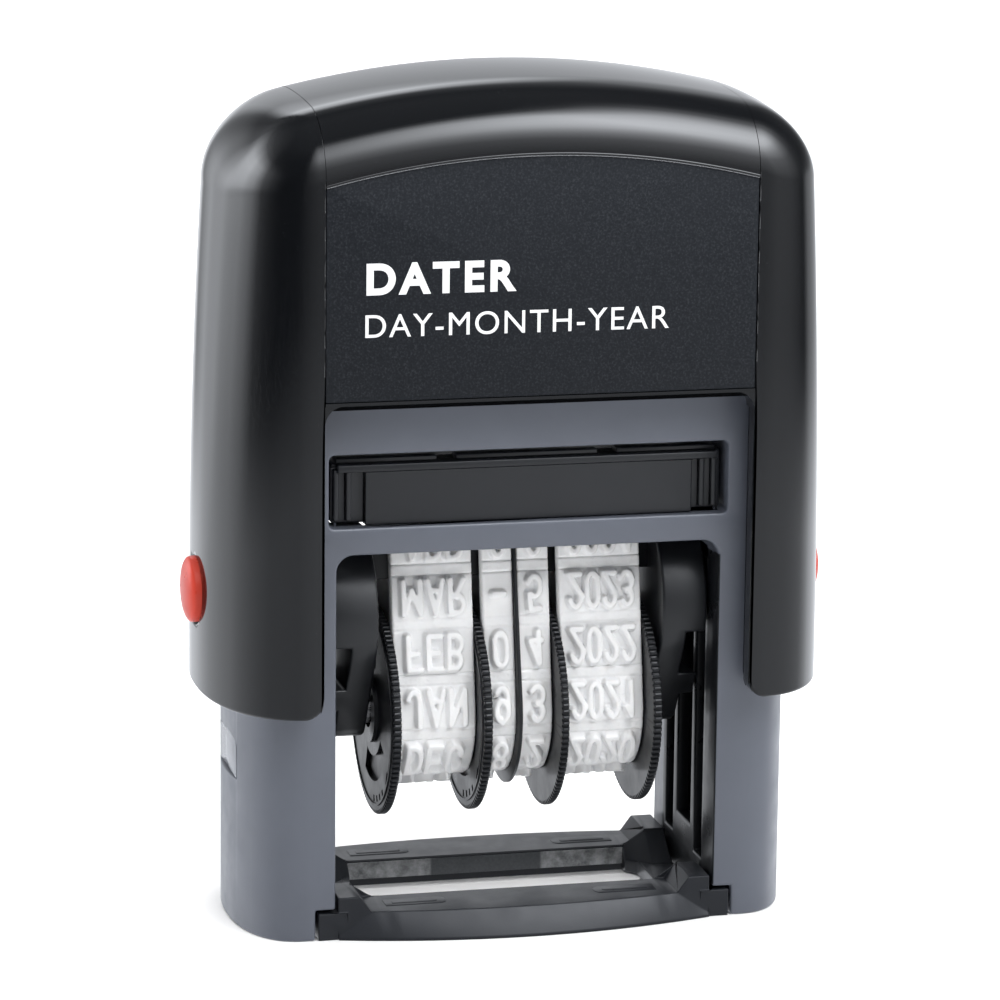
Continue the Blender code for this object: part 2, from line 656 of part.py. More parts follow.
def carrier(looks, parent):
    origin = (0, 0, PIVOT_Z)
    for side in (-1, 1):
        cheek(side, looks["black"], parent, origin)
    end = 15.9 * MM
    bridge = box((-end, -2.2 * MM, 36.0 * MM), (end, 2.2 * MM, 40.7 * MM))
    new_object("print_bridge", bridge, looks["black"], origin, parent)
    axle = rod("X", (0, WHEEL_Z), AXLE_R, -17.6 * MM, 17.6 * MM)
    new_object("wheel_axle", axle, looks["steel"], origin, parent)
    plate = prism(drop_outline(8.6 * MM, BAND_TOP_FLAT, BAND_TOP_R, 42.4 * MM), "X",
                  -0.1 * MM, 0.3 * MM)
    divider = new_object("band_divider", plate, looks["black"], origin, parent)
    cut(divider, box((-1 * MM, -2.5 * MM, 35.7 * MM), (1 * MM, 2.5 * MM, 41.0 * MM)), "bridge_hole")
    cut(divider, rod("X", (0, WHEEL_Z), AXLE_R + 0.15 * MM, -1 * MM, 1 * MM), "axle_hole")
    for name, low, high in (("month_band", -12.95, -4.65), ("tens_band", -3.2, -0.35),
                            ("units_band", 0.55, 3.65), ("year_band", 4.95, 13.5)):
        band(name, low * MM, high * MM, looks["rubber"], parent, origin)


def wheels(finish, parent):
    """Each row: name, the disc's faces along X, and the drum's far end."""
    rows = (("month_wheel", (-14.1, -13.2), (-13.3, -4.65)),
            ("tens_wheel", (-4.4, -3.5), (-3.6, -0.35)),
            ("units_wheel", (3.9, 4.7), (0.55, 4.0)),
            ("year_wheel", (13.8, 14.7), (4.95, 13.9)))
    for name, disc, drum in rows:
        wheel(name, [x * MM for x in disc], [x * MM for x in drum], finish, parent)


def main():
    clear_scene()
    looks = {
        "grey": material("grey_plastic", (0.15, 0.17, 0.20), 0.38),
        "black": material("black_plastic", (0.012, 0.013, 0.015), 0.40),
        "gloss": material("gloss_black", (0.008, 0.009, 0.011), 0.10),
        "label": material("label_film", (0.030, 0.033, 0.038), 0.55),
        "red": material("red_plastic", (0.72, 0.075, 0.045), 0.30),
        "rubber": material("band_rubber", (0.66, 0.67, 0.69), 0.60),
        "felt": material("ink_felt", (0.02, 0.02, 0.05), 0.95),
        "steel": material("spring_steel", (0.55, 0.56, 0.58), 0.30, 1.0),
    }
    base_frame(looks["grey"])
    frame_collar(looks["grey"])
    spring_post(looks["grey"])
    foot_ring(looks["black"])
    cap_axis = axis_empty("cap_press_axis", (0, 0, 0))
    for piece in (cap_shell(looks["gloss"]), index_cover(looks["gloss"]),
                  press_bracket(looks["black"])):
        piece.parent = cap_axis
    labels(looks["label"], cap_axis)
    return_spring(looks["steel"])
    for side in (-1, 1):
        lock_button(side, looks["red"], cap_axis)
    pad_axis = axis_empty("pad_slide_axis", (0, 0, 0))
    pad_tray(looks["black"], pad_axis)
    ink_pad(looks["felt"], pad_axis)
    carrier_axis = axis_empty("carrier_flip_axis", (0, 0, PIVOT_Z), cap_axis)
    carrier(looks, carrier_axis)
    wheel_axis = axis_empty("wheel_turn_axis", (0, 0, WHEEL_Z), carrier_axis)
    wheels(looks["black"], wheel_axis)


main()
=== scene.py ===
"""Looks of the rotary date stamp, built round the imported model. Sizes here are in millimetres, and
new_piece() turns them into metres. +Z is up and the front faces -Y."""

import math

import bmesh
import bpy
import numpy as np
from mathutils import Matrix, Vector


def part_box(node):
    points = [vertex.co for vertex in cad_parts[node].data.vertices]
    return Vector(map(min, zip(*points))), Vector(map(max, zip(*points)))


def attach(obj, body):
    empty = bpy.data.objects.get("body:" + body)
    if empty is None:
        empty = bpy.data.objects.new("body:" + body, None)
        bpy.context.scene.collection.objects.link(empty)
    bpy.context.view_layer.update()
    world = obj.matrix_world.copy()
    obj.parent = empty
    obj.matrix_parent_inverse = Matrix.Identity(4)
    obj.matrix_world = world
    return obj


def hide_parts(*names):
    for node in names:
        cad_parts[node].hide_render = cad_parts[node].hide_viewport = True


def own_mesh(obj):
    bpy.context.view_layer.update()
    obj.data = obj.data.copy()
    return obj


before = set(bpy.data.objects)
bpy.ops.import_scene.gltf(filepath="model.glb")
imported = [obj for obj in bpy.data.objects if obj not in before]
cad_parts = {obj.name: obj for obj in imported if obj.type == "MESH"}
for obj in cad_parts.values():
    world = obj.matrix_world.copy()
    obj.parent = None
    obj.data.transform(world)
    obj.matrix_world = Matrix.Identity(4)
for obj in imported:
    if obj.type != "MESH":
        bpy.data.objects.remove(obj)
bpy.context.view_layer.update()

MM = 0.001
WELD = 1e-4  # vertices nearer than this are one, in millimetres


def low_mm(node):
    return [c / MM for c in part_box(node)[0]]


def high_mm(node):
    return [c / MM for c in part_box(node)[1]]


# ---- driving sizes, from the frame
CAP_BOTTOM = low_mm("cap_shell")[2]
CAP_APEX = high_mm("index_cover")[2]
CAP_HALF_WIDTH = high_mm("cap_shell")[0]
CAP_HALF_DEPTH = high_mm("cap_shell")[1]
COVER_BOTTOM = low_mm("index_cover")[2]
FRAME_HALF_WIDTH = high_mm("base_frame")[0]
FRAME_HALF_DEPTH = high_mm("base_frame")[1]
FRAME_TOP = high_mm("frame_collar")[2]
DECK_TOP = high_mm("base_frame")[2]
TRAY_HALF = high_mm("pad_tray")[0]
TRAY_LOW = low_mm("pad_tray")[2]
PRINT_FACE = high_mm("month_band")[2]
WHEEL_Z = (low_mm("month_wheel")[2] + high_mm("month_wheel")[2]) / 2
WHEEL_R = (high_mm("month_wheel")[2] - low_mm("month_wheel")[2]) / 2
CHEEK_R = high_mm("carrier_cheek_left")[1]
PIVOT_Z = high_mm("carrier_cheek_left")[2] - CHEEK_R
BUTTON_R = high_mm("lock_button_left")[1]
BUTTON_Z = low_mm("lock_button_left")[2] + BUTTON_R
SPRING_LOW = low_mm("return_spring")[2]
SPRING_HIGH = high_mm("return_spring")[2]

CAP_FLAT = 23.0  # X where the cap's ends start to round
CAP_POWER = 2.3  # of the superellipse of the cap's plan
SEAM = 22.45  # X of the seam between the cap's ends and its cover
CAP_WALL = 2.3
ROOF_RADIUS = 98.0
ROOF_CROWN = 112.0
FRONT_START = 8.5  # |Y| where the roof starts to turn down
REAR_START = 4.5
EDGE_DROP = 5.7
RECESS = 0.38  # depth of the labels' recesses
FILM_FACE = CAP_HALF_DEPTH - 0.06
CAP_SHOULDER = 31.5
WINDOW_HALF = 20.3
WINDOW_TOP = 40.9
FRAME_WALL = 1.8
NARROW_START = 43.0  # height from which the frame's ends draw in
NARROW_AT_DECK = 1.3
THROUGH = 20  # |Y| beyond the frame's faces
TRAY_TOP = 50.2
BUTTON_SEAT = 31.35  # |X| of the buttons' inner faces
STROKE = 22.0
RAIL_END = 16.5  # the foot ring's rails, and the posts at their ends
RAIL_TOP = 2.85
POST_END = 20.0
POST_TOP = 4.5


# ---- mesh helpers
def new_piece(name, bm, finish, smooth_angle=32):
    bmesh.ops.remove_doubles(bm, verts=bm.verts, dist=WELD)
    bmesh.ops.recalc_face_normals(bm, faces=bm.faces)
    mesh = bpy.data.meshes.new(name)
    bm.to_mesh(mesh)
    bm.free()
    mesh.transform(Matrix.Scale(MM, 4))
    mesh.shade_smooth()
    mesh.set_sharp_from_angle(angle=math.radians(smooth_angle))
    obj = bpy.data.objects.new(name, mesh)
    bpy.context.scene.collection.objects.link(obj)
    if finish:
        mesh.materials.append(finish)
    return obj


def settle(obj, smooth_angle=None):
    """Applies the piece's modifiers, and removes the shapes that cut it or joined it."""
    view = bpy.context.evaluated_depsgraph_get()
    helpers = [m.object for m in obj.modifiers if m.type == "BOOLEAN"]
    mesh = bpy.data.meshes.new_from_object(obj.evaluated_get(view))
    mesh.name = obj.name
    old = obj.data
    obj.modifiers.clear()
    obj.data = mesh
    bpy.data.meshes.remove(old)
    for helper in helpers:
        bpy.data.objects.remove(helper)
    if smooth_angle:
        mesh.shade_smooth()
        mesh.set_sharp_from_angle(angle=math.radians(smooth_angle))
    return obj


def combine(target, operation, bm):
    helper = new_piece(target.name + "_helper", bm, None)
    helper.hide_render = True
    modifier = target.modifiers.new("shape", "BOOLEAN")
    modifier.operation = operation
    modifier.object = helper


def cut(target, bm):
    combine(target, "DIFFERENCE", bm)


def join(target, bm):
    combine(target, "UNION", bm)


def bevel(obj, width, segments=3, angle=40):
    """Eases the edges sharper than an angle or, without one, those that weigh_rim() marked."""
    modifier = obj.modifiers.new("edges", "BEVEL")
    modifier.width = width * MM
    modifier.segments = segments
    modifier.use_clamp_overlap = False
    modifier.limit_method = "ANGLE" if angle else "WEIGHT"
    if angle:
        modifier.angle_limit = math.radians(angle)
    return obj


def box(low, high):
    """A box between two corners; on each axis they may come in either order."""
    bm = bmesh.new()
    low, high = Vector(tuple(map(min, low, high))), Vector(tuple(map(max, low, high)))
    place = Matrix.Translation((low + high) / 2) @ Matrix.Diagonal((*(high - low), 1.0))
    bmesh.ops.create_cube(bm, size=1.0, matrix=place)
    return bm


def at(axis, point, along):
    a, b = point
    return {"X": (along, a, b), "Y": (a, along, b), "Z": (a, b, along)}[axis]


def prism(outline, axis, *reach):
    """Extrudes a closed outline over a reach: (y, z) along X, (x, z) along Y, (x, y) along Z."""
    bm = bmesh.new()
    near, far = ([bm.verts.new(at(axis, p, along)) for p in outline] for along in sorted(reach))
    bm.faces.new(near)
    bm.faces.new(far)
    for i in range(len(outline)):
        j = (i + 1) % len(outline)
        bm.faces.new((near[i], near[j], far[j], far[i]))
    bmesh.ops.recalc_face_normals(bm, faces=bm.faces)
    return bm


def loft(rings):
    bm = bmesh.new()
    rows = [[bm.verts.new(p) for p in ring] for ring in rings]
    for near, far in zip(rows, rows[1:]):
        for i in range(len(near)):
            j = (i + 1) % len(near)
            bm.faces.new((near[i], near[j], far[j], far[i]))
    bm.faces.new(rows[0])
    bm.faces.new(rows[-1])
    bmesh.ops.recalc_face_normals(bm, faces=bm.faces)
    return bm


def loft_along(axis, sections):
    """Lofts outlines that stand across an axis, each given as (distance along it, outline)."""
    return loft([[at(axis, point, along) for point in outline] for along, outline in sections])


def together(*parts):
    """Puts several closed shapes into one mesh."""
    whole = bmesh.new()
    for part in parts:
        mesh = bpy.data.meshes.new("part")
        part.to_mesh(mesh)
        part.free()
        whole.from_mesh(mesh)
        bpy.data.meshes.remove(mesh)
    return whole


def sided(stem, side):
    return stem + ("_left" if side < 0 else "_right")


def arc(centre, radius, start, end, steps):
    """Points on a circle or an ellipse from start to end, in degrees."""
    rx, ry = radius if isinstance(radius, tuple) else (radius, radius)
    turns = [math.radians(start + (end - start) * i / steps) for i in range(steps + 1)]
    return [(centre[0] + rx * math.cos(t), centre[1] + ry * math.sin(t)) for t in turns]


def disc(centre, radius, sides=64):
    return arc(centre, radius, 0, 360 - 360 / sides, sides - 1)


def plan_outline(half_width, half_depth, flat):
    """The frame's plan: straight faces up to a flat's |X|, then a superellipse's ends."""
    power, steps = 2.25, 24
    quarter = []
    for i in range(steps + 1):
        turn = math.pi / 2 * i / steps
        across = max(math.cos(turn), 0.0) ** (2 / power)
        deep = math.sin(turn) ** (2 / power)
        quarter.append((flat + (half_width - flat) * across, half_depth * deep))
    right = [(x, -y) for x, y in reversed(quarter)] + quarter[1:]
    return right + [(-x, -y) for x, y in right]


def round_box(half_width, low, high, radius, steps=8, corners="top"):
    """An (x, z) outline with rounded corners, at the top or all round."""
    right = arc((half_width - radius, high - radius), radius, 0, 90, steps)
    left = arc((radius - half_width, high - radius), radius, 90, 180, steps)
    if corners == "top":
        return [(half_width, low), *right, *left, (-half_width, low)]
    foot_left = arc((radius - half_width, low + radius), radius, 180, 270, steps)
    foot_right = arc((half_width - radius, low + radius), radius, 270, 360, steps)
    return right + left + foot_left + foot_right


# ---- materials
class Wiring:
    """A short way to wire the nodes of a material or of the world."""

    def __init__(self, tree):
        self.tree = tree
        self.coordinates = tree.nodes.new("ShaderNodeTexCoord").outputs

    def node(self, kind, **inputs):
        made = self.tree.nodes.new(kind)
        for key, value in inputs.items():
            self.put(made.inputs[key.replace("_", " ")], value)
        return made

    def put(self, socket, value):
        if isinstance(value, bpy.types.NodeSocket):
            self.tree.links.new(value, socket)
        else:
            socket.default_value = value

    def ramp(self, value, stops):
        made = self.node("ShaderNodeValToRGB", Fac=value)
        ramp = made.color_ramp
        while len(ramp.elements) < len(stops):
            ramp.elements.new(0.5)
        for element, (place, colour) in zip(ramp.elements, stops):
            element.position = place
            grey = (colour, colour, colour) if isinstance(colour, (int, float)) else colour
            element.color = (*grey, 1.0)
        return made.outputs["Color"]

    def maths(self, operation, *values):
        made = self.node("ShaderNodeMath")
        made.operation = operation
        for socket, value in zip(made.inputs, values):
            self.put(socket, value)
        return made.outputs["Value"]


class Nodes(Wiring):
    """A new material, with what its patterns and its finish need."""

    def __init__(self, name):
        self.material = bpy.data.materials.new(name)
        self.material.use_nodes = True
        super().__init__(self.material.node_tree)
        self.shader = self.tree.nodes["Principled BSDF"]
        self.place = self.coordinates["Object"]

    def noise(self, scale, detail=3.0, roughness=0.55, stretch=None):
        place = self.place
        if stretch:
            place = self.node("ShaderNodeMapping", Vector=place, Scale=stretch).outputs["Vector"]
        return self.node("ShaderNodeTexNoise", Vector=place, Scale=scale, Detail=detail,
                         Roughness=roughness).outputs["Fac"]

    def mix(self, share, a, b):
        made = self.node("ShaderNodeMix")
        made.data_type = "RGBA"
        self.put(made.inputs["Factor"], share)
        for key, value in (("A", a), ("B", b)):
            self.put(made.inputs[key], (*value, 1.0) if isinstance(value, tuple) else value)
        return made.outputs["Result"]

    def bump(self, height, strength, distance, below=None):
        made = self.node("ShaderNodeBump", Height=height, Strength=strength,
                         Distance=distance * MM)
        if below is not None:
            self.put(made.inputs["Normal"], below)
        return made.outputs["Normal"]

    def done(self, **inputs):
        for key, value in inputs.items():
            if key == "Base_Color" and isinstance(value, tuple):
                value = (*value, 1.0)
            self.put(self.shader.inputs[key.replace("_", " ")], value)
        return self.material


def tint(colour, factor):
    return tuple(c * factor for c in colour)


def moulded(name, colour, rough, grain=0.16, grain_depth=0.004, spread=0.12, rough_spread=0.06,
            specular=0.5):
    """Moulded plastic: slight cloudiness in colour and gloss, over a fine grained skin."""
    n = Nodes(name)
    cloud = n.noise(120, 4)
    fine = n.noise(1 / (grain * MM), 2)
    soft = n.mix(cloud, tint(colour, 1 - spread), tint(colour, 1 + spread))
    gloss = n.ramp(n.noise(320, 3), [(0.3, rough - rough_spread), (0.7, rough + rough_spread)])
    return n.done(Base_Color=soft, Roughness=gloss, Specular_IOR_Level=specular,
                  Normal=n.bump(fine, 0.5, grain_depth))


def gloss_black():
    """High-gloss black with faint hairline scratches and a trace of dust."""
    n = Nodes("gloss_black")
    colour = (0.0021, 0.0025, 0.0033)
    cloud = n.noise(60, 3)
    dust = n.ramp(n.noise(5200, 1), [(0.77, 0.0), (0.80, 1.0)])
    base = n.mix(n.mix(cloud, (0.0,) * 3, (0.4,) * 3), colour, tint(colour, 1.5))
    base = n.mix(n.maths("MULTIPLY", dust, 0.05), base, (0.35, 0.36, 0.38))
    hair = n.noise(420, 2, 0.5, stretch=(9.0, 1.0, 0.6))
    hair = n.ramp(hair, [(0.485, 0.0), (0.5, 1.0), (0.515, 0.0)])
    patch = n.ramp(n.noise(45, 2), [(0.5, 0.0), (0.62, 1.0)])
    scratch = n.maths("MULTIPLY", hair, patch)
    wave = n.noise(70, 2)
    rough = n.ramp(n.noise(90, 3), [(0.3, 0.03), (0.7, 0.055)])
    rough = n.mix(n.maths("MULTIPLY", scratch, 0.5), rough, (0.3, 0.3, 0.3))
    normal = n.bump(wave, 0.25, 0.012)
    normal = n.bump(scratch, 0.25, 0.004, normal)
    return n.done(Base_Color=base, Roughness=rough, Normal=normal, Specular_IOR_Level=0.5)


def label_film():
    """Matt printed film with a fine speckle."""
    n = Nodes("label_film")
    speck = n.noise(4200, 2, 0.7)
    patch = n.noise(240, 3)
    base = n.ramp(speck, [(0.30, (0.0075, 0.009, 0.0115)), (0.52, (0.011, 0.013, 0.0165)),
                          (0.74, (0.027, 0.030, 0.035))])
    base = n.mix(n.maths("MULTIPLY", patch, 0.35), base, (0.0085, 0.010, 0.013))
    rough = n.ramp(speck, [(0.3, 0.42), (0.7, 0.58)])
    return n.done(Base_Color=base, Roughness=rough, Normal=n.bump(speck, 0.35, 0.012),
                  Specular_IOR_Level=0.13)


def film_edge_painted_highlight():
    """The cut edge of a clear film, glossy; its pale colour is a painted highlight along the labels'
    top.
    """
    n = Nodes("film_edge_painted_highlight")
    base = n.mix(n.noise(300, 3), (0.13, 0.135, 0.145), (0.22, 0.225, 0.24))
    return n.done(Base_Color=base, Roughness=n.ramp(n.noise(900, 2), [(0.3, 0.2), (0.7, 0.32)]))


def band_rubber():
    """Light grey moulded rubber: matt, a little translucent, with grime in its finer grain."""
    n = Nodes("band_rubber")
    base = n.ramp(n.noise(260, 4), [(0.3, (0.74, 0.745, 0.755)), (0.7, (0.84, 0.845, 0.85))])
    grime = n.ramp(n.noise(1900, 3, 0.65), [(0.66, 0.0), (0.80, 1.0)])
    base = n.mix(n.maths("MULTIPLY", grime, 0.22), base, (0.25, 0.26, 0.29))
    fine = n.noise(5200, 2)
    rough = n.ramp(n.noise(700, 2), [(0.3, 0.46), (0.7, 0.6)])
    normal = n.bump(fine, 0.4, 0.006, n.bump(n.noise(900, 3), 0.35, 0.02))
    return n.done(Base_Color=base, Roughness=rough, Normal=normal, Subsurface_Weight=0.2,
                  Subsurface_Radius=(0.6, 0.55, 0.5), Subsurface_Scale=0.5 * MM)


def ink_felt():
    """Felt that is soaked in dark ink."""
    n = Nodes("ink_felt")
    fibre = n.noise(2600, 4, 0.7)
    base = n.mix(fibre, (0.006, 0.006, 0.02), (0.03, 0.03, 0.07))
    return n.done(Base_Color=base, Roughness=0.92, Normal=n.bump(fibre, 0.9, 0.12),
                  Sheen_Weight=0.3)


def steel(name, stretch):
    """Drawn steel; stretch gives the direction of its grain."""
    n = Nodes(name)
    drawn = n.noise(900, 3, 0.5, stretch=stretch)
    base = n.mix(drawn, (0.42, 0.42, 0.43), (0.62, 0.62, 0.63))
    rough = n.ramp(drawn, [(0.3, 0.22), (0.7, 0.38)])
    return n.done(Base_Color=base, Roughness=rough, Metallic=1.0,
                  Normal=n.bump(drawn, 0.3, 0.01))


def inner_wall_plastic():
    """The foot ring's rear wall, black plastic: glossier towards both ends, where a mottled lighter
    grey is a painted sheen; grained in its middle.
    """
    n = Nodes("ring_wall_plastic")
    across = n.node("ShaderNodeSeparateXYZ", Vector=n.place).outputs["X"]
    reach = n.maths("ABSOLUTE", across)
    # Both ends get a lighter, mottled grey: painted sheen over the black.
    ends = n.ramp(n.maths("MULTIPLY", reach, 60.0), [(0.36, 0.0), (0.38, 1.0)])
    sheen_mottle = n.ramp(n.noise(500, 4, 0.7), [(0.35, 0.0), (0.65, 1.0)])
    light = n.mix(sheen_mottle, (0.10, 0.105, 0.11), (0.34, 0.35, 0.36))
    grain = n.noise(3500, 2)
    dark = n.mix(grain, (0.02, 0.022, 0.025), (0.06, 0.065, 0.07))
    base = n.mix(ends, dark, light)
    return n.done(Base_Color=base, Roughness=n.ramp(ends, [(0, 0.5), (1, 0.22)]),
                  Normal=n.bump(grain, 0.5, 0.02))


def white_print():
    """White printing ink, a little rubbed off."""
    n = Nodes("white_print")
    wear_and_sheen = n.noise(2500, 3, 0.6)
    base = n.mix(wear_and_sheen, (0.72, 0.73, 0.75), (0.88, 0.89, 0.90))
    return n.done(Base_Color=base, Roughness=0.45, Normal=n.bump(wear_and_sheen, 0.3, 0.01))


GREY = (0.094, 0.104, 0.130)
BLACK = (0.0085, 0.0095, 0.0115)
LOOKS = {
    "grey": moulded("grey_plastic", GREY, 0.36, grain_depth=0.003),
    # Paler grey for the lock recesses' floors: a painted sheen, with a glossier finish.
    "grey_painted_sheen": moulded("grey_glossy_painted_sheen", (0.20, 0.215, 0.245), 0.18, grain_depth=0.001),
    # Near-black painted shade for the frame's insides, where shade falls.
    "inside": moulded("column_painted_shade", (0.008, 0.009, 0.011), 0.32, grain_depth=0.004,
                      specular=0.25),
    "black": moulded("black_plastic", BLACK, 0.36, grain=0.22, grain_depth=0.012),
    "ring": moulded("ring_plastic", (0.015, 0.0165, 0.020), 0.34, grain=0.2, grain_depth=0.01,
                    specular=0.22),
    "tray": moulded("tray_plastic", (0.009, 0.010, 0.0125), 0.34, grain=0.3, grain_depth=0.01),
    "wheel": moulded("wheel_plastic", (0.0115, 0.0125, 0.0145), 0.33, grain_depth=0.006,
                     specular=0.28),
    "red": moulded("red_plastic", (0.52, 0.050, 0.030), 0.30, grain_depth=0.001, spread=0.06,
                   specular=0.2),
    "gloss": gloss_black(),
    "label": label_film(),
    "film_edge_painted_highlight": film_edge_painted_highlight(),
    "rubber": band_rubber(),
    "felt": ink_felt(),
    "wire": steel("spring_steel", (1, 1, 1)),
    "axle": steel("axle_steel", (1, 8, 8)),
    "ring_wall": inner_wall_plastic(),
    "print": white_print(),
}


def place(piece, body, look, *nodes):
    """Names what the piece rides on, and the CAD nodes that it stands for."""
    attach(piece, body)
    if nodes:
        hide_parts(*nodes)


# ---- cap
def roof_height(x):
    return CAP_APEX - x * x / (2 * ROOF_RADIUS)


def edge_drop(y):
    """How far the roof has turned down at a depth, towards the front or the rear face."""
    start = FRONT_START if y < 0 else REAR_START
    beyond = max(abs(y) - start, 0.0) / (CAP_HALF_DEPTH - start)
    turned = EDGE_DROP * (1 - math.sqrt(max(1 - beyond * beyond, 0.0)))
    return turned + y * y / (2 * ROOF_CROWN)


def cap_depth(turn):
    """Y of the cap's plan outline, for a turn from straight ahead to straight behind."""
    return math.copysign(CAP_HALF_DEPTH * abs(math.sin(turn)) ** (2 / CAP_POWER), turn)


def grid_solid(grid, thickness, keep_seam=None):
    """Thickens a grid of points inwards and closes its rim. Rows and columns run as in the grid."""
    points = np.array(grid)
    along = np.gradient(points, axis=0)
    across = np.gradient(points, axis=1)
    normal = np.cross(along, across)
    length = np.linalg.norm(normal, axis=2, keepdims=True)
    rows, columns = points.shape[:2]
    flat = np.where(length > 1e-6, normal / np.maximum(length, 1e-9), np.nan)
    for i in range(rows):
        for j in range(columns):
            if np.isnan(flat[i, j, 0]):
                near = flat[max(i - 3, 0):i + 4, max(j - 3, 0):j + 4].reshape(-1, 3)
                flat[i, j] = np.nanmean(near, axis=0)
    middle = points.reshape(-1, 3).mean(0)
    if ((points - middle) * flat).sum() < 0:
        flat = -flat
    inner = points - thickness * flat / np.linalg.norm(flat, axis=2, keepdims=True)
    if keep_seam:
        keep_seam(points, inner)
    bm = bmesh.new()
    out = [[bm.verts.new(p) for p in row] for row in points]
    ins = [[bm.verts.new(p) for p in row] for row in inner]
    for i in range(rows - 1):
        for j in range(columns - 1):
            bm.faces.new((out[i][j], out[i][j + 1], out[i + 1][j + 1], out[i + 1][j]))
            bm.faces.new((ins[i][j], ins[i + 1][j], ins[i + 1][j + 1], ins[i][j + 1]))
    ring = [(0, j) for j in range(columns)] + [(i, columns - 1) for i in range(1, rows)]
    ring += [(rows - 1, j) for j in range(columns - 2, -1, -1)]
    ring += [(i, 0) for i in range(rows - 2, 0, -1)]
    for a, b in zip(ring, ring[1:] + ring[:1]):
        bm.faces.new((out[a[0]][a[1]], out[b[0]][b[1]], ins[b[0]][b[1]], ins[a[0]][a[1]]))
    bmesh.ops.remove_doubles(bm, verts=bm.verts, dist=WELD)
    bmesh.ops.dissolve_degenerate(bm, edges=bm.edges, dist=WELD)
    bmesh.ops.recalc_face_normals(bm, faces=bm.faces)
    return bm


def weigh_rim(bm, weight_at):
    """Marks sharp edges for bevel(); weight_at gives a share of its width for a place."""
    layer = bm.edges.layers.float.new("bevel_weight_edge")
    for edge in bm.edges:
        if len(edge.link_faces) == 2 and edge.calc_face_angle(0) > math.radians(45):
            middle = (edge.verts[0].co + edge.verts[1].co) / 2
            edge[layer] = weight_at(middle)


def end_cap(side):
    """One rounded end of the cap: roof shoulder, bowed side and the foot's small corner."""
    shares = [0.9 * k / 30 for k in range(31)] + [0.9 + 0.1 * k / 12 for k in range(1, 13)]
    turns = [-math.pi / 2 * s for s in reversed(shares)] + [math.pi / 2 * s for s in shares[1:]]
    corner = 2.0
    shoulder_rows, side_rows = 24, 90
    shoulder_fall = 7.3
    seam_reach = (0.0, 0.03, 0.12, 0.3)

    def column(y, swell, seam_x=None):
        drop = edge_drop(y)
        foot = CAP_FLAT + (CAP_HALF_WIDTH - CAP_FLAT) * swell
        side_top = CAP_FLAT + (CAP_SHOULDER - CAP_FLAT) * swell
        points = [(SEAM, roof_height(SEAM) - drop)]
        for k in range(shoulder_rows + 1):
            lean = math.radians(90 * k / shoulder_rows)
            x = CAP_FLAT + (side_top - CAP_FLAT) * math.sin(lean)
            fall = shoulder_fall * swell * (1 - math.cos(lean))
            points.append((x, roof_height(x) - drop - fall))
        side_z = points[-1][1]
        near = max(SEAM + corner - (foot if seam_x is None else seam_x), 0.0)
        low = CAP_BOTTOM + corner - math.sqrt(max(corner * corner - near * near, 0.0))
        for k in range(1, side_rows + 1):
            share = 1 - k / side_rows
            points.append((foot + (side_top - foot) * share**2.2, low + (side_z - low) * share))
        if seam_x is not None:
            points = [(min(x, seam_x), z) for x, z in points]
        return [(side * x, y, z) for x, z in points]

    rows = [column(-CAP_HALF_DEPTH, 0.0, SEAM + d) for d in seam_reach]
    rows += [column(cap_depth(t), max(math.cos(t), 0.0) ** (2 / CAP_POWER)) for t in turns]
    rows += [column(CAP_HALF_DEPTH, 0.0, SEAM + d) for d in reversed(seam_reach)]

    def keep_seam(outer, inner):
        inner[:, 0, 0] = outer[:, 0, 0]

    def rim_share(place):
        if abs(place.x) < SEAM + 0.05:
            return 0.1 if place.z > COVER_BOTTOM else 1.0
        return 1.0 if place.z < CAP_BOTTOM + 2.2 else 0.0

    bm = grid_solid(rows, CAP_WALL, keep_seam)
    weigh_rim(bm, rim_share)
    piece = new_piece(sided("cap_end", side), bm, LOOKS["gloss"])
    bevel(piece, 0.3, angle=None)
    hole = disc((0, BUTTON_Z + 0.1), BUTTON_R + 0.05, 96)
    cut(piece, prism(hole, "X", side * 27, side * 40))
    return settle(piece)


def cap_corner(side, end):
    """The fillet in a top corner of the cap's window."""
    r = 2.0
    beyond = SEAM + 0.2
    outline = arc((SEAM - r, COVER_BOTTOM - r), r, 0, 90, 12)
    outline += [(beyond, COVER_BOTTOM - 0.02), (beyond, COVER_BOTTOM - r)]
    return prism([(side * x, z) for x, z in outline], "Y",
                 end * (CAP_HALF_DEPTH - 0.12), end * (CAP_HALF_DEPTH - 3.1))


def label_top(x):
    """The labels' arched top edge."""
    return CAP_APEX - 7.28 - x * x / 180


def cover():
    """The saddle over the middle of the cap, with a recess for each label."""
    half = SEAM - 0.04
    steps, turns = 56, 96
    lip = COVER_BOTTOM + 0.34
    sunk = CAP_HALF_DEPTH - RECESS
    grid = []
    for i in range(steps + 1):
        x = -half + 2 * half * i / steps
        top = label_top(x)
        edge = max(roof_height(x) - edge_drop(CAP_HALF_DEPTH), top + 0.4)
        front = [(CAP_HALF_DEPTH, COVER_BOTTOM), (CAP_HALF_DEPTH, lip)]
        front += [(sunk, lip + 0.1 + (top - lip - 0.2) * k / 6) for k in range(7)]
        front.append((CAP_HALF_DEPTH - 0.04, top))
        front += arc((CAP_HALF_DEPTH, top + 0.17), (0.13, 0.16), -90, 90, 8)
        front.append((CAP_HALF_DEPTH, edge))
        row = [(x, -y, z) for y, z in front]
        for k in range(1, turns):
            y = cap_depth(-math.pi / 2 + math.pi * k / turns)
            row.append((x, y, roof_height(x) - edge_drop(y)))
        row += [(x, y, z) for y, z in reversed(front)]
        grid.append(row)
    return new_piece("cap_cover", grid_solid(grid, 1.5), LOOKS["gloss"], 28)


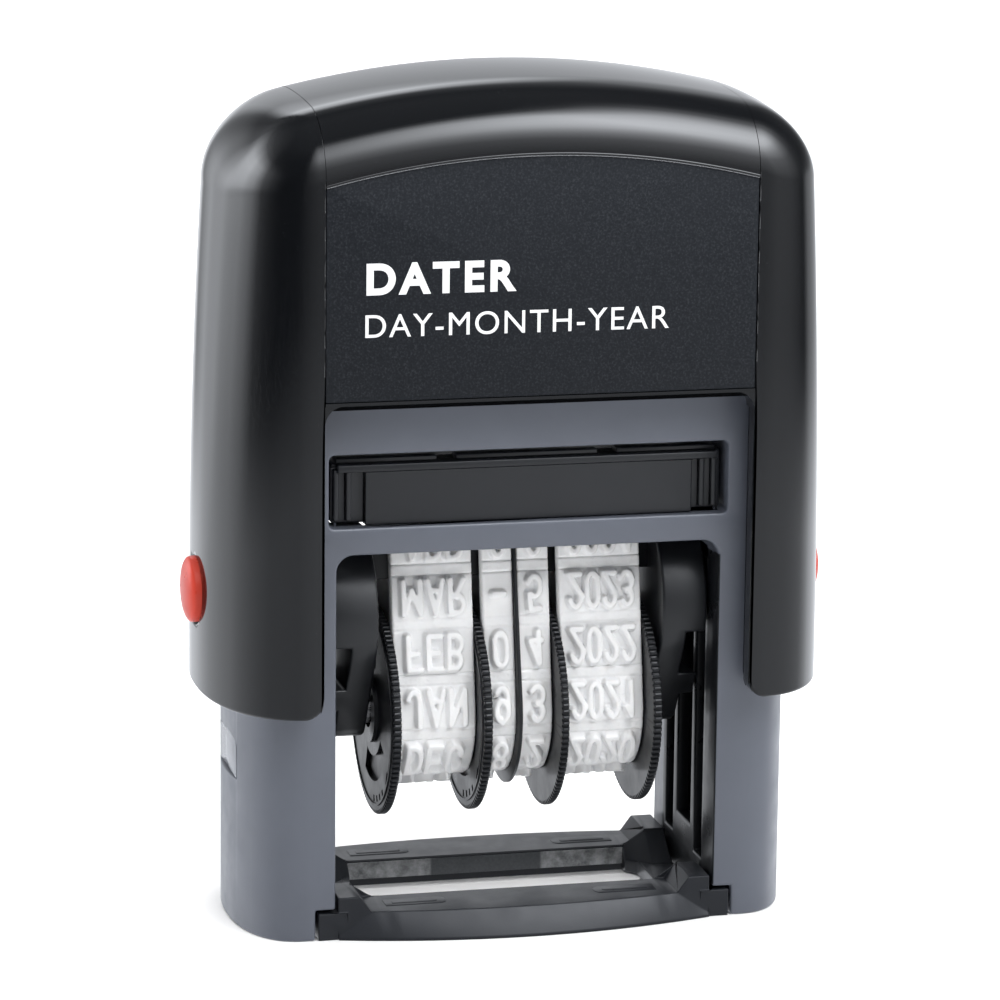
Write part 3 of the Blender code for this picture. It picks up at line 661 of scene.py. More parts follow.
def label_plate(end):
    """A film panel with an arched top, its edges eased so that the top one catches the light."""
    half = SEAM - 0.05
    steps = 40
    outline = [(-half, COVER_BOTTOM + 0.4), (half, COVER_BOTTOM + 0.4)]
    for i in range(steps + 1):
        x = half * (1 - 2 * i / steps)
        outline.append((x, label_top(x) - 0.05))
    panel = prism(outline, "Y", end * (CAP_HALF_DEPTH - RECESS), end * FILM_FACE)
    piece = new_piece("front_panel" if end < 0 else "rear_panel", panel, LOOKS["label"])
    return settle(bevel(piece, 0.1, 2, 60), 40)


# ---- strokes for characters
def bowl(centre, radius, start, end):
    """A round part of a character, whose cell runs from 0 to 1 both ways."""
    return arc(centre, radius, start, end, 14)


ROUND = bowl((0.5, 0.68), (0.5, 0.32), 0, 180) + bowl((0.5, 0.32), (0.5, 0.32), 180, 360)
ROUND.append(ROUND[0])
CURL = [(0.0, 0.30), (0.0, 0.68)] + bowl((0.5, 0.70), (0.5, 0.30), 180, 28)
RING = bowl((0.5, 0.30), (0.5, 0.30), 0, 360)
BACK = bowl((0.5, 0.70), (0.5, 0.30), 0, 180) + bowl((0.5, 0.30), (0.5, 0.30), 180, 360)
FLAG = [(0, 0), (0, 1)] + bowl((0.5, 0.735), (0.5, 0.265), 90, -90) + [(0, 0.47)]


def turned(strokes):
    return [[(1 - x, 1 - y) for x, y in stroke] for stroke in strokes]


GLYPHS = {
    "A": [[(0, 0), (0.5, 1), (1, 0)], [(0.17, 0.3), (0.83, 0.3)]],
    "B": [[(0, 0), (0, 1)] + bowl((0.5, 0.765), (0.42, 0.235), 90, -90) + [(0, 0.53)],
          [(0.5, 0.53)] + bowl((0.5, 0.265), (0.5, 0.265), 90, -90) + [(0, 0)]],
    "C": [[(1, 0.72)] + BACK],
    "D": [[(0, 0), (0, 1), (0.4, 1)] + bowl((0.4, 0.6), (0.6, 0.4), 90, 0)
          + bowl((0.4, 0.4), (0.6, 0.4), 0, -90) + [(0, 0)]],
    "E": [[(1, 1), (0, 1), (0, 0), (1, 0)], [(0, 0.52), (0.82, 0.52)]],
    "F": [[(1, 1), (0, 1), (0, 0)], [(0, 0.52), (0.78, 0.52)]],
    "G": [[(1, 0.74)] + BACK + [(1, 0.46), (0.58, 0.46)]],
    "J": [[(0.9, 1), (0.9, 0.3)] + bowl((0.45, 0.3), (0.45, 0.3), 0, -165)],
    "L": [[(0, 1), (0, 0), (1, 0)]],
    "M": [[(0, 0), (0, 1), (0.5, 0.28), (1, 1), (1, 0)]],
    "N": [[(0, 0), (0, 1), (1, 0), (1, 1)]],
    "O": [ROUND],
    "P": [FLAG],
    "R": [FLAG, [(0.42, 0.47), (1, 0)]],
    "S": [bowl((0.5, 0.75), (0.48, 0.25), 15, 270) + bowl((0.5, 0.25), (0.5, 0.25), 90, -165)],
    "T": [[(0, 1), (1, 1)], [(0.5, 1), (0.5, 0)]],
    "U": [[(0, 1), (0, 0.3)] + bowl((0.5, 0.3), (0.5, 0.3), 180, 360) + [(1, 1)]],
    "V": [[(0, 1), (0.5, 0), (1, 1)]],
    "Y": [[(0, 1), (0.5, 0.48), (1, 1)], [(0.5, 0.48), (0.5, 0)]],
    "-": [[(0, 0.5), (1, 0.5)]],
    "0": [ROUND],
    "1": [[(0.18, 0.74), (0.62, 1), (0.62, 0)]],
    "2": [bowl((0.5, 0.70), (0.5, 0.30), 165, -22) + [(0, 0), (1, 0)]],
    "3": [bowl((0.47, 0.755), (0.47, 0.245), 150, -90),
          bowl((0.5, 0.265), (0.5, 0.265), 90, -150)],
    "4": [[(0.72, 0), (0.72, 1), (0, 0.28), (1, 0.28)]],
    "5": [[(0.94, 1), (0.12, 1), (0.06, 0.53)] + bowl((0.5, 0.31), (0.5, 0.31), 128, -155)],
    "6": [CURL, RING],
    "7": [[(0, 1), (1, 1), (0.36, 0)]],
    "8": [bowl((0.5, 0.755), (0.44, 0.245), 0, 360), bowl((0.5, 0.255), (0.5, 0.255), 0, 360)],
    "9": turned([CURL, RING]),
}


# ---- bands
BAND_R = 7.3
BAND_TOP_FLAT = 2.3
BAND_TOP_R = 1.5
BAND_THICK = 1.3
LETTER_RISE = 0.8
ROW_PITCH = 5.8
ROWS = range(-5, 7)
GAP_ZONE = 1.15
FAR = 9.0  # a distance beyond the reach of any stroke


def loop_points(distance, lift):
    """Places on the band's loop: distance runs from the print face's middle down the front, and
    lift is the height above the band's face. Both are arrays; the result is (y, z)."""
    base_top = PRINT_FACE - LETTER_RISE
    top_centre = base_top - BAND_TOP_R
    rise = top_centre - WHEEL_Z
    span = math.hypot(BAND_TOP_FLAT, rise)
    turn = math.atan2(rise, BAND_TOP_FLAT) - math.acos((BAND_R - BAND_TOP_R) / span)
    corner = BAND_TOP_R * (math.pi / 2 - turn)
    side = math.sqrt(span * span - (BAND_R - BAND_TOP_R) ** 2)
    around = BAND_R * (math.pi + 2 * turn)
    total = 2 * (BAND_TOP_FLAT + corner + side) + around
    s = np.mod(distance, total)
    mirrored = s > total / 2
    s = np.where(mirrored, total - s, s)
    first = BAND_TOP_FLAT
    second = first + corner
    third = second + side
    a_top = math.pi / 2 - (s - first) / BAND_TOP_R
    a_low = turn - (s - third) / BAND_R
    run = s - second
    y = np.where(s < first, s, np.where(
        s < second, BAND_TOP_FLAT + (BAND_TOP_R + lift) * np.cos(a_top), np.where(
            s < third,
            BAND_TOP_FLAT + (BAND_TOP_R + lift) * math.cos(turn) + run * math.sin(turn),
            (BAND_R + lift) * np.cos(a_low))))
    z = np.where(s < first, base_top + lift, np.where(
        s < second, top_centre + (BAND_TOP_R + lift) * np.sin(a_top), np.where(
            s < third,
            top_centre + (BAND_TOP_R + lift) * math.sin(turn) - run * math.cos(turn),
            WHEEL_Z + (BAND_R + lift) * np.sin(a_low))))
    return np.where(mirrored, y, -y), z, total


def stroke_distance(u, v, strokes, width, height):
    """Distance in millimetres from each point to the nearest stroke of a character."""
    nearest = np.full(u.shape, FAR)
    for stroke in strokes:
        for (ax, ay), (bx, by) in zip(stroke, stroke[1:]):
            ax, ay, bx, by = ax * width, ay * height, bx * width, by * height
            dx, dy = bx - ax, by - ay
            span = max(dx * dx + dy * dy, 1e-9)
            t = np.clip(((u - ax) * dx + (v - ay) * dy) / span, 0, 1)
            nearest = np.minimum(nearest, np.hypot(u - ax - t * dx, v - ay - t * dy))
    return nearest


STROKE_HALF = 0.25
DRAFT = 0.20
LETTER_HEIGHT = 3.95
WIDE = {"M": 1.75, "N": 1.45, "A": 1.6, "-": 1.1, "V": 1.6, "U": 1.4, "O": 1.4}


def write_row(u, v, text, middle, usual, spacing):
    """Distance field of a line of characters centred on middle; usual is a character's width."""
    widths = [WIDE.get(c, usual) for c in text]
    total = sum(widths) + spacing * (len(text) - 1) + 2 * STROKE_HALF * (len(text) - 1)
    x = middle - total / 2
    height = LETTER_HEIGHT - 2 * STROKE_HALF
    nearest = np.full(u.shape, FAR)
    for character, width in zip(text, widths):
        found = stroke_distance(u - x, v + height / 2, GLYPHS[character], width, height)
        nearest = np.minimum(nearest, found)
        x += width + spacing + 2 * STROKE_HALF
    return nearest


def band_relief(grid_x, grid_s, low, high, texts, usual, spacing, seed):
    """Heights over a band's face: drafted characters on each row, a scored strip between rows, and
    a slightly ragged skin; it falls off towards the band's rims."""
    score_depth, score_width = 0.13, 0.09
    rim_width, rim_fall = 0.2, 0.1
    lift = np.zeros(grid_x.shape)
    random = np.random.default_rng(seed)
    ragged = random.normal(0, 1, grid_x.shape)
    ragged = (ragged + np.roll(ragged, 1, 0) + np.roll(ragged, 1, 1)) / 3
    middle = (low + high) / 2
    for row in ROWS:
        v = grid_s - row * ROW_PITCH
        zone = np.abs(v) < ROW_PITCH / 2
        distance = np.full(grid_x.shape, FAR)
        near = np.abs(v) < LETTER_HEIGHT / 2 + 0.6
        distance[near] = write_row(grid_x[near], v[near], texts(row), middle, usual, spacing)
        rise = np.clip((STROKE_HALF + DRAFT - distance) / DRAFT, 0, 1)
        rise = LETTER_RISE * (rise * rise * (3 - 2 * rise))
        edge = np.abs(v) - (ROW_PITCH - GAP_ZONE) / 2
        score = score_depth * np.exp(-(edge / score_width) ** 2)
        strip = np.where(edge > 0, 0.05 + 0.022 * ragged, 0.0)
        lift = np.where(zone, rise - score + strip, lift)
    loose = np.abs(grid_s) > (ROWS[-1] + 0.5) * ROW_PITCH
    lift = np.where(loose & (lift == 0), 0.004 * ragged, lift)
    rim = np.clip(np.minimum(grid_x - low, high - grid_x) / rim_width, 0, 1)
    return lift - rim_fall * (1 - rim) ** 2


def band(name, node, low, high, texts, usual, spacing, seed):
    """A rubber loop: a fine grid outside, lifted by its relief, and a plain face inside."""
    cell = 0.13
    columns = max(int(round((high - low) / cell)), 8) + 1
    total = loop_points(np.zeros(1), np.zeros(1))[2]
    count = int(round(total / cell))
    x = np.linspace(low, high, columns)
    s = np.arange(count) * total / count - total / 2
    grid_x, grid_s = np.meshgrid(x, s, indexing="ij")
    lift = band_relief(grid_x, grid_s, low, high, texts, usual, spacing, seed)
    y, z, _ = loop_points(grid_s, lift)
    inner_y, inner_z, _ = loop_points(s, np.full(s.shape, -BAND_THICK))
    bm = bmesh.new()
    outer = [[bm.verts.new((x[i], y[i, j], z[i, j])) for j in range(count)]
             for i in range(columns)]
    inner = [[bm.verts.new((edge_x, inner_y[j], inner_z[j])) for j in range(count)]
             for edge_x in (low, high)]
    for j in range(count):
        k = (j + 1) % count
        for i in range(columns - 1):
            bm.faces.new((outer[i][j], outer[i + 1][j], outer[i + 1][k], outer[i][k]))
        bm.faces.new((inner[0][j], inner[0][k], inner[1][k], inner[1][j]))
        bm.faces.new((outer[0][j], outer[0][k], inner[0][k], inner[0][j]))
        bm.faces.new((outer[-1][j], inner[1][j], inner[1][k], outer[-1][k]))
    place(new_piece(name, bm, LOOKS["rubber"], 75), "die_carrier", "rubber", node)


MONTHS = ["JAN", "FEB", "MAR", "APR", "MAY", "JUN", "JUL", "AUG", "SEP", "OCT", "NOV", "DEC"]
SHOWN_ROW = 4  # the row that shows JAN, 9, 3 and 2021


def month_text(row):
    return MONTHS[(SHOWN_ROW - row) % 12]


def tens_text(row):
    step = SHOWN_ROW - row
    if step == 2:
        return "-"
    return str((9 + step) % 10)


def units_text(row):
    return str((3 + SHOWN_ROW - row) % 10)


def year_text(row):
    return str(2021 + SHOWN_ROW - row)


# ---- wheels
DRUM_R = 5.6
BORE_R = 1.62
PIN_R = 1.5


def knurled(face, back, teeth=110):
    """A disc along X whose rim is a row of small rounded teeth."""
    root = WHEEL_R - 0.36
    crown = WHEEL_R - 0.06
    profile = ((0.0, root), (0.16, root), (0.30, crown), (0.5, WHEEL_R), (0.70, crown),
               (0.84, root))
    ease = 0.14
    low, high = sorted((face, back))
    sections = []
    for x, less in ((low, 0.30), (low + ease * 0.4, 0.10), (low + ease, 0.0),
                    (high - ease, 0.0), (high - ease * 0.4, 0.10), (high, 0.30)):
        ring = []
        for tooth in range(teeth):
            for share, radius in profile:
                turn = 2 * math.pi * (tooth + share) / teeth
                r = min(radius, WHEEL_R - less) if radius > root else root - 0.3 * less
                ring.append((r * math.cos(turn), WHEEL_Z + r * math.sin(turn)))
        sections.append((x, ring))
    return loft_along("X", sections)


def ring_prism(outer, inner, *reach, part=None, steps=96, centre_z=WHEEL_Z):
    """A ring along X, or the part of one between two angles in degrees."""
    centre = (0, centre_z)
    if part:
        start, end = part
        outline = arc(centre, outer, start, end, steps) + arc(centre, inner, end, start, steps)
        return prism(outline, "X", *reach)
    low, high = sorted(reach)
    bm = bmesh.new()
    rows = [[bm.verts.new((x, y, z)) for y, z in disc(centre, r, steps)]
            for x, r in ((low, inner), (low, outer), (high, outer), (high, inner))]
    for near, far in zip(rows, rows[1:] + rows[:1]):
        for i in range(steps):
            j = (i + 1) % steps
            bm.faces.new((near[i], near[j], far[j], far[i]))
    bmesh.ops.recalc_face_normals(bm, faces=bm.faces)
    return bm


def bore(radius, sides, *reach):
    """A cylinder along the wheels' axis."""
    return prism(disc((0, WHEEL_Z), radius, sides), "X", *reach)


def wheel(name, node, body, disc_x, drum_x, marked):
    """A setting wheel: knurled disc, drum, hub boss, and on the outer face a slot and an arrow."""
    face, back = disc_x
    out = -1 if face < back else 1
    inside = face - 0.2 * out
    piece = new_piece(name, knurled(face, back), LOOKS["wheel"], 35)
    join(piece, bore(DRUM_R, 72, *drum_x))
    join(piece, ring_prism(3.6, 2.0, inside, face + 0.45 * out))
    join(piece, ring_prism(WHEEL_R - 0.9, WHEEL_R - 1.15, inside, face + 0.12 * out))
    cut(piece, bore(BORE_R, 48, min(disc_x + drum_x) - 1, max(disc_x + drum_x) + 1))
    if marked:
        for part in ((208, 292), (28, 112)):
            cut(piece, ring_prism(7.7, 5.0, face + out, face - 0.45 * out, part=part, steps=28))
        groove = (face + out, inside)
        cut(piece, ring_prism(9.75, 9.45, *groove, part=(150, 212), steps=24))
        tip, barb = math.radians(222), math.radians(212)
        head = [(r * math.cos(a), WHEEL_Z + r * math.sin(a))
                for r, a in ((9.6, tip), (10.15, barb), (9.05, barb))]
        cut(piece, prism(head, "X", *groove))
        for start in (232, 241, 250, 259):
            cut(piece, ring_prism(9.9, 9.2, *groove, part=(start, start + 3.5), steps=3))
    place(settle(piece, 35), body, "wheel", node)


# ---- carrier
BAR_NOTCH = ((-2.5, 35.7), (2.5, 41.0))  # (y, z) corners of the bar's notch in what it crosses


def cheek(side):
    """An end block: round head about the pivot, tapering to a small foot at the axle."""
    foot_r = 2.8
    turn = math.degrees(math.asin((CHEEK_R - foot_r) / (PIVOT_Z - WHEEL_Z)))
    head = arc((0, PIVOT_Z), CHEEK_R, -turn, 180 + turn, 64)
    foot = arc((0, WHEEL_Z), foot_r, 180 + turn, 360 - turn, 20)
    notch = [(-9.2, 25.0), (9.2, 25.0), (9.2, 29.8), (8.8, 30.2), (-8.8, 30.2), (-9.2, 29.8)]
    body = prism(head + foot, "X", side * 15.2, side * 20.0)
    piece = new_piece(sided("cheek", side), body, LOOKS["black"])
    cut(piece, prism(notch, "X", side * 18.0, side * 21))
    cut(piece, box((side * 18.6, -9, 17), (side * 21, 9, 22.4)))
    cut(piece, box((side * 14, *BAR_NOTCH[0]), (side * 16.2, *BAR_NOTCH[1])))
    bevel(piece, 0.28)
    join(piece, prism(disc((0, PIVOT_Z), 2.0, 48), "X", side * 19.5, side * 24.4))
    join(piece, ring_prism(3.4, 2.6, side * 19.5, side * 20.22, steps=64, centre_z=PIVOT_Z))
    cut(piece, bore(1.6, 40, side * 14, side * 17.9))
    place(settle(piece, 34), "die_carrier", "black", sided("carrier_cheek", side))


def divider():
    """The thin plate between the tens and units bands, with a rounded rim."""
    def outline(less):
        top_centre = 40.9 - less
        low_r = 8.6 - less
        rise = top_centre - WHEEL_Z
        span = math.hypot(2.3, rise)
        turn = math.degrees(math.atan2(rise, 2.3) - math.acos((low_r - 1.5) / span))
        right = arc((2.3, top_centre), 1.5, turn, 90, 10)
        left = arc((-2.3, top_centre), 1.5, 90, 180 - turn, 10)
        return right + left + arc((0, WHEEL_Z), low_r, 180 - turn, 360 + turn, 72)

    rims = ((-0.1, 0.12), (-0.03, 0), (0.23, 0), (0.3, 0.12))
    plate = loft_along("X", [(x, outline(less)) for x, less in rims])
    piece = new_piece("divider_plate", plate, LOOKS["wheel"])
    cut(piece, box((-1, *BAR_NOTCH[0]), (1, *BAR_NOTCH[1])))
    cut(piece, bore(BORE_R, 40, -1, 1))
    place(settle(piece, 35), "die_carrier", "wheel", "band_divider")


def bridge():
    piece = new_piece("bridge_bar", box((-15.9, -2.2, 36.0), (15.9, 2.2, 40.7)), LOOKS["black"])
    for x in (-9, -1.8, 2.1, 9.2):
        cut(piece, box((x - 1.4, -1.2, 35), (x + 1.4, 1.2, 38.6)))
    place(settle(bevel(piece, 0.2, 2), 34), "die_carrier", "black", "print_bridge")


def axle():
    end, ease = 17.6, 0.3
    tip = PIN_R - ease
    profile = ((-end, tip), (-end + ease, PIN_R), (end - ease, PIN_R), (end, tip))
    pin = loft_along("X", [(x, disc((0, WHEEL_Z), radius, 48)) for x, radius in profile])
    place(new_piece("axle_pin", pin, LOOKS["axle"]), "die_carrier", "axle", "wheel_axle")


# ---- base
def split_at(obj, depths):
    """Adds an edge loop where each plane of constant y crosses the piece."""
    bm = bmesh.new()
    bm.from_mesh(obj.data)
    for y in depths:
        everything = bm.verts[:] + bm.edges[:] + bm.faces[:]
        bmesh.ops.bisect_plane(bm, geom=everything, dist=1e-7, plane_co=(0, y * MM, 0),
                               plane_no=(0, 1, 0))
    bm.to_mesh(obj.data)
    bm.free()


def narrowing(z):
    """How far the frame's ends have drawn in at a height."""
    share = max(z - NARROW_START, 0.0) / (DECK_TOP - NARROW_START)
    return NARROW_AT_DECK * min(share, 1.0)


def frame_plan(z, inset, flat):
    narrow = narrowing(z)
    return plan_outline(FRAME_HALF_WIDTH - inset - narrow, FRAME_HALF_DEPTH - inset, flat)


# Short of this |Y| the window's side walls get the near-black painted shade.
PALE_STRIP = 8.0  # |Y| beyond which a side wall stays grey: the left in front, the right behind


def gets_painted_shade(centre, normal):
    """Whether a face of the frame gets the near-black painted shade of its insides: the window's
    side walls, and the hollows and guide slots of the columns."""
    x, y, z = centre
    side = 1 if x > 0 else -1
    faces_in = normal.x * side < -0.7 and abs(abs(x) - WINDOW_HALF) < 0.4
    if faces_in and z < WINDOW_TOP - 1.5 and side * y < PALE_STRIP:
        return True
    if normal.x * x + normal.y * y > 0 and abs(x) > 22.25:
        return False
    hollow = 21.5 < abs(x) < 28.1 and abs(y) < 9.95 and 3.9 < z < 50
    slot = 20.35 < abs(x) < 22.3 and abs(y) < 7.05 and 4.9 < z < 39.1
    return hollow or slot


def lock_arch(low):
    """Outline of a lock recess, given the height of its foot."""
    half, straight, rise = 4.6, 3.4, 1.1
    foot = [(-half, low), (half, low), (half, low + straight)]
    return foot + arc((0, low + straight), (half, rise), 0, 180, 16)[1:]


def base():
    """Grey frame: rounded columns, bars above and below the tray, guide slots inside."""
    sections = [(z, frame_plan(z, 0, 23.5 - narrowing(z)))
                for z in (0, NARROW_START, DECK_TOP, FRAME_TOP)]
    piece = new_piece("grey_frame", loft_along("Z", sections), LOOKS["grey"])
    # Second slot: the near-black painted shade of the insides.
    piece.data.materials.append(LOOKS["inside"])
    well = frame_plan(FRAME_TOP, FRAME_WALL, 21.2)
    cut(piece, prism(well, "Z", DECK_TOP, FRAME_TOP + 1))
    depth = FRAME_HALF_DEPTH - FRAME_WALL
    for side in (-1, 1):
        sections = []
        for z in (4.0, NARROW_START, DECK_TOP, FRAME_TOP - 1):
            pocket = [(x, y) for x, y in frame_plan(z, FRAME_WALL, 22.5) if side * x > 0]
            pocket += [(side * 21.8, side * depth), (side * 21.8, -side * depth)]
            sections.append((z, pocket))
        cut(piece, loft_along("Z", sections))
    for opening in (round_box(WINDOW_HALF, -1, WINDOW_TOP, 1.8, 12),
                    round_box(21.1, 43.75, 51.4, 0.6, 6, "all")):
        cut(piece, prism(opening, "Y", -THROUGH, THROUGH))
    cut(piece, box((-WINDOW_HALF, -9.9, WINDOW_TOP - 3), (WINDOW_HALF, 9.9, 44.75)))
    slope = [(21.0, 61), (21.0, FRAME_TOP), (30.0, 52.5), (32, 52.5), (32, 61)]
    slots = ((-7.0, -4.1, 5.0, 39.0), (-2.7, 2.7, 7.5, 37.0), (4.1, 7.0, 5.0, 39.0))
    patches = []
    for side in (-1, 1):
        cut(piece, prism([(side * x, z) for x, z in slope], "Y", -THROUGH, THROUGH))
        for y0, y1, z0, z1 in slots:
            cut(piece, box((side * 19.3, y0, z0), (side * 22.2, y1, z1)))
        for end in (-1, 1):
            cut(piece, box((side * 19.3, end * 7.5, -1), (side * 22.4, end * THROUGH, 3.25)))
        for low in (15.9, 15.9 + STROKE):
            arch = lock_arch(low)
            cut(piece, prism(arch, "X", side * 28.6, side * 31))
            patch = [(y * 0.985, low + 0.05 + (z - low) * 0.985) for y, z in arch]
            floor = 29.45 - narrowing(low + 4.5)
            patches.append(prism(patch, "X", side * 27.9, side * floor))
    join(piece, prism(disc((0, 0), 3.2, 48), "Z", 52.7, 58))
    settle(piece)
    bevel(piece, 0.28, 3, 50)
    split_at(piece, (-PALE_STRIP, PALE_STRIP))
    settle(piece, 36)
    # Faces in the window's side walls, hollows and guide slots get the painted shade.
    for polygon in piece.data.polygons:
        polygon.material_index = int(gets_painted_shade(polygon.center / MM, polygon.normal))
    place(piece, "base", "grey", "base_frame", "frame_collar", "spring_post")
    # The lock recesses' floors are paler grey: a painted sheen for the light that they catch.
    wear_and_sheen = new_piece("lock_recess_floors", together(*patches), LOOKS["grey_painted_sheen"])
    place(settle(bevel(wear_and_sheen, 0.08, 2), 40), "base", "grey_painted_sheen")


def rail(side):
    """One rail: a bowed bar with a sloping face that widens into the end posts."""
    def section(x, top):
        bow = max(1 - (x / RAIL_END) ** 2, 0.0)
        crest = 11.7 + 1.2 * bow
        toe = 14.75 - 2.75 * (x / POST_END) ** 2
        past = max(abs(x) - RAIL_END, 0.0) / (POST_END - RAIL_END)
        brow = 2.75 - 2.33 * past
        outline = [(6.3, 0), (6.3, top), (crest, top), (crest + 0.1, brow), (toe, 0.3), (toe, 0)]
        return x, [(side * y, z) for y, z in outline]

    sections = [section(RAIL_END * i / 16, RAIL_TOP) for i in range(-16, 17)]
    for x in (17.7, 18.5, 19.3, POST_END):
        sections = [section(-x, POST_TOP), *sections, section(x, POST_TOP)]
    return loft_along("X", sections)


def gusset(side, end):
    """The sloping web between an end bar and a post."""
    low = [(6.5, 0.2), (6.5, RAIL_TOP - 0.05), (5.0, 1.55), (5.0, 0.2)]
    high = [(6.5, 0.2), (6.5, POST_TOP - 0.05), (2.5, 1.65), (2.5, 0.2)]
    return loft_along("X", [(side * x, [(end * y, z) for y, z in outline]) for x, outline in
                            ((15.3, low), (17.75, high), (POST_END - 0.05, high))])


def foot():
    """Black ring at the foot, with faint pads on the rails' tops and a panelled rear wall."""
    piece = new_piece("foot_frame", rail(-1), LOOKS["ring"])
    join(piece, rail(1))
    pads = []
    for side in (-1, 1):
        join(piece, box((side * RAIL_END, -7.0, 0), (side * POST_END, 7.0, 1.6)))
        for end in (-1, 1):
            join(piece, gusset(side, end))
            join(piece, box((side * 19.0, end * 8.0, 0), (side * 22.1, end * 11.78, 2.9)))
            for x0, x1, y0, y1, top in ((8.0, 14.6, 8.0, 10.2, 0.05), (8.9, 13.8, 8.6, 9.6, 0.1)):
                outline = stadium(side, (side * x0, side * x1), (end * y0, end * y1))
                pads.append(prism(outline, "Z", 2.75, RAIL_TOP + top))
    settle(piece)
    bevel(piece, 0.12, 2, 22)
    place(settle(piece, 17), "base", "ring", "foot_ring")
    pad = new_piece("foot_rail_pads", together(*pads), LOOKS["ring"])
    place(settle(bevel(pad, 0.04, 2), 40), "base", "ring")
    outline = round_box(15.4, 0.75, 2.6, 0.15, 3, "all")
    panel = new_piece("foot_wall_panel", prism(outline, "Y", 6.18, 6.4), LOOKS["ring_wall"])
    place(settle(bevel(panel, 0.05, 2), 40), "base", "ring_wall")


def stadium(side, xs, ys):
    """A bar along X that is rounded at the end away from the corner."""
    (low, high), (near, far) = sorted(xs), sorted(ys)
    r = min(0.9, (far - near) / 2 - 0.01)
    if side > 0:
        curve = arc((low + r, far - r), r, 90, 180, 8) + arc((low + r, near + r), r, 180, 270, 8)
        return [(high, near), (high, far)] + curve
    curve = arc((high - r, near + r), r, 270, 360, 8) + arc((high - r, far - r), r, 0, 90, 8)
    return [(low, far), (low, near)] + curve


# ---- pad, buttons, spring
def tray():
    """The slide-in cartridge: flat faces, a bright lip along the top, and ribs at both ends."""
    top = TRAY_TOP
    body = box((-TRAY_HALF, -10.0, TRAY_LOW), (TRAY_HALF, 10.0, top))
    piece = new_piece("ink_tray", body, LOOKS["tray"])
    cut(piece, box((-16.8, -8.2, TRAY_LOW - 1), (16.8, 8.2, 48.2)))
    bars = [(-17.2, 17.4, 9.5, 10.9, TRAY_LOW - 0.2, top - 0.2),
            (-20.3, 20.3, 8.4, 9.4, TRAY_LOW - 0.2, top - 1),
            (-20.1, 20.1, 8.0, 11.1, top - 0.75, top + 0.02)]
    bars += [(x0, x1, 8.0, 9.9, top - 0.1, top + 0.5)
             for x0, x1 in ((-20.1, -9.5), (-7.5, 7.5), (9.5, 20.1))]
    bars += [(x - 0.28, x + 0.28, 9.7, 10.75, TRAY_LOW + 0.3, top - 0.5)
             for x in (-20.2, -18.9, 18.5, 19.8)]
    for end in (-1, 1):
        for x0, x1, y0, y1, z0, z1 in bars:
            join(piece, box((x0, end * y0, z0), (x1, end * y1, z1)))
    settle(piece)
    bevel(piece, 0.14, 3, 40)
    place(settle(piece, 36), "ink_cartridge", "tray", "pad_tray")


def felt():
    """The ink pad: felt with soft edges and a slightly uneven face."""
    low = low_mm("ink_pad")
    bm = box(low, high_mm("ink_pad"))
    bmesh.ops.bevel(bm, geom=bm.edges[:], offset=0.4, segments=3, profile=0.5, affect="EDGES")
    bmesh.ops.subdivide_edges(bm, edges=[e for e in bm.edges if e.calc_length() > 3], cuts=14,
                              use_grid_fill=True)
    random = np.random.default_rng(5)
    for vertex in bm.verts:
        if vertex.co.z < low[2] + 0.05:
            vertex.co.z += 0.06 * float(random.random())
    piece = new_piece("ink_felt_pad", bm, LOOKS["felt"], 60)
    place(piece, "ink_cartridge", "felt", "ink_pad")


def button(side):
    """A red button with an eased rim and a shallow dome, and its latch tongue behind."""
    rim, dome, radius = 33.35, 0.95, BUTTON_R - 0.2
    profile = [(BUTTON_SEAT, radius), (rim, radius)]
    for k in range(1, 17):
        lean = math.radians(90 * k / 16)
        r = max(radius * math.cos(lean) ** 0.8, 0.06)
        profile.append((rim + dome * math.sin(lean), r))
    body = loft_along("X", [(side * x, disc((0, BUTTON_Z + 0.15), r, 72)) for x, r in profile])
    piece = new_piece(sided("button", side), body, LOOKS["red"], 50)
    join(piece, box((side * BUTTON_SEAT, -3.0, BUTTON_Z), (side * 32.0, 3.0, 41.4)))
    join(piece, box((side * 30.15, -2.98, 38.3), (side * 31.55, 2.98, 41.0)))
    place(settle(piece, 40), "left_button" if side < 0 else "right_button", "red",
          sided("lock_button", side))


def spring():
    """The return spring, as one round wire with closed end turns."""
    wire = 0.45
    radius = 4.9
    turns = 8
    per_turn = 40
    low, high = SPRING_LOW + wire - 0.07, SPRING_HIGH - wire + 0.07
    path = []
    for i in range(turns * per_turn + 1):
        t = i / (turns * per_turn)
        eased = min(max((t * turns - 1) / (turns - 2), 0.0), 1.0)
        lie = 2.2 * wire * (min(t * turns, 1.0) + max(t * turns - turns + 1, 0.0))
        turn = 2 * math.pi * t * turns
        z = low + lie + (high - low - 4.4 * wire) * eased
        path.append(Vector((radius * math.cos(turn), radius * math.sin(turn), z)))
    rings = []
    for i, point in enumerate(path):
        ahead = (path[min(i + 1, len(path) - 1)] - path[max(i - 1, 0)]).normalized()
        out = Vector((point.x, point.y, 0)).normalized()
        up = ahead.cross(out)
        rings.append([point + wire * (math.cos(a) * out + math.sin(a) * up)
                      for a in (2 * math.pi * k / 12 for k in range(12))])
    piece = new_piece("coil_spring", loft(rings), LOOKS["wire"], 60)
    place(piece, "base", "wire", "return_spring")
    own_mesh(piece)


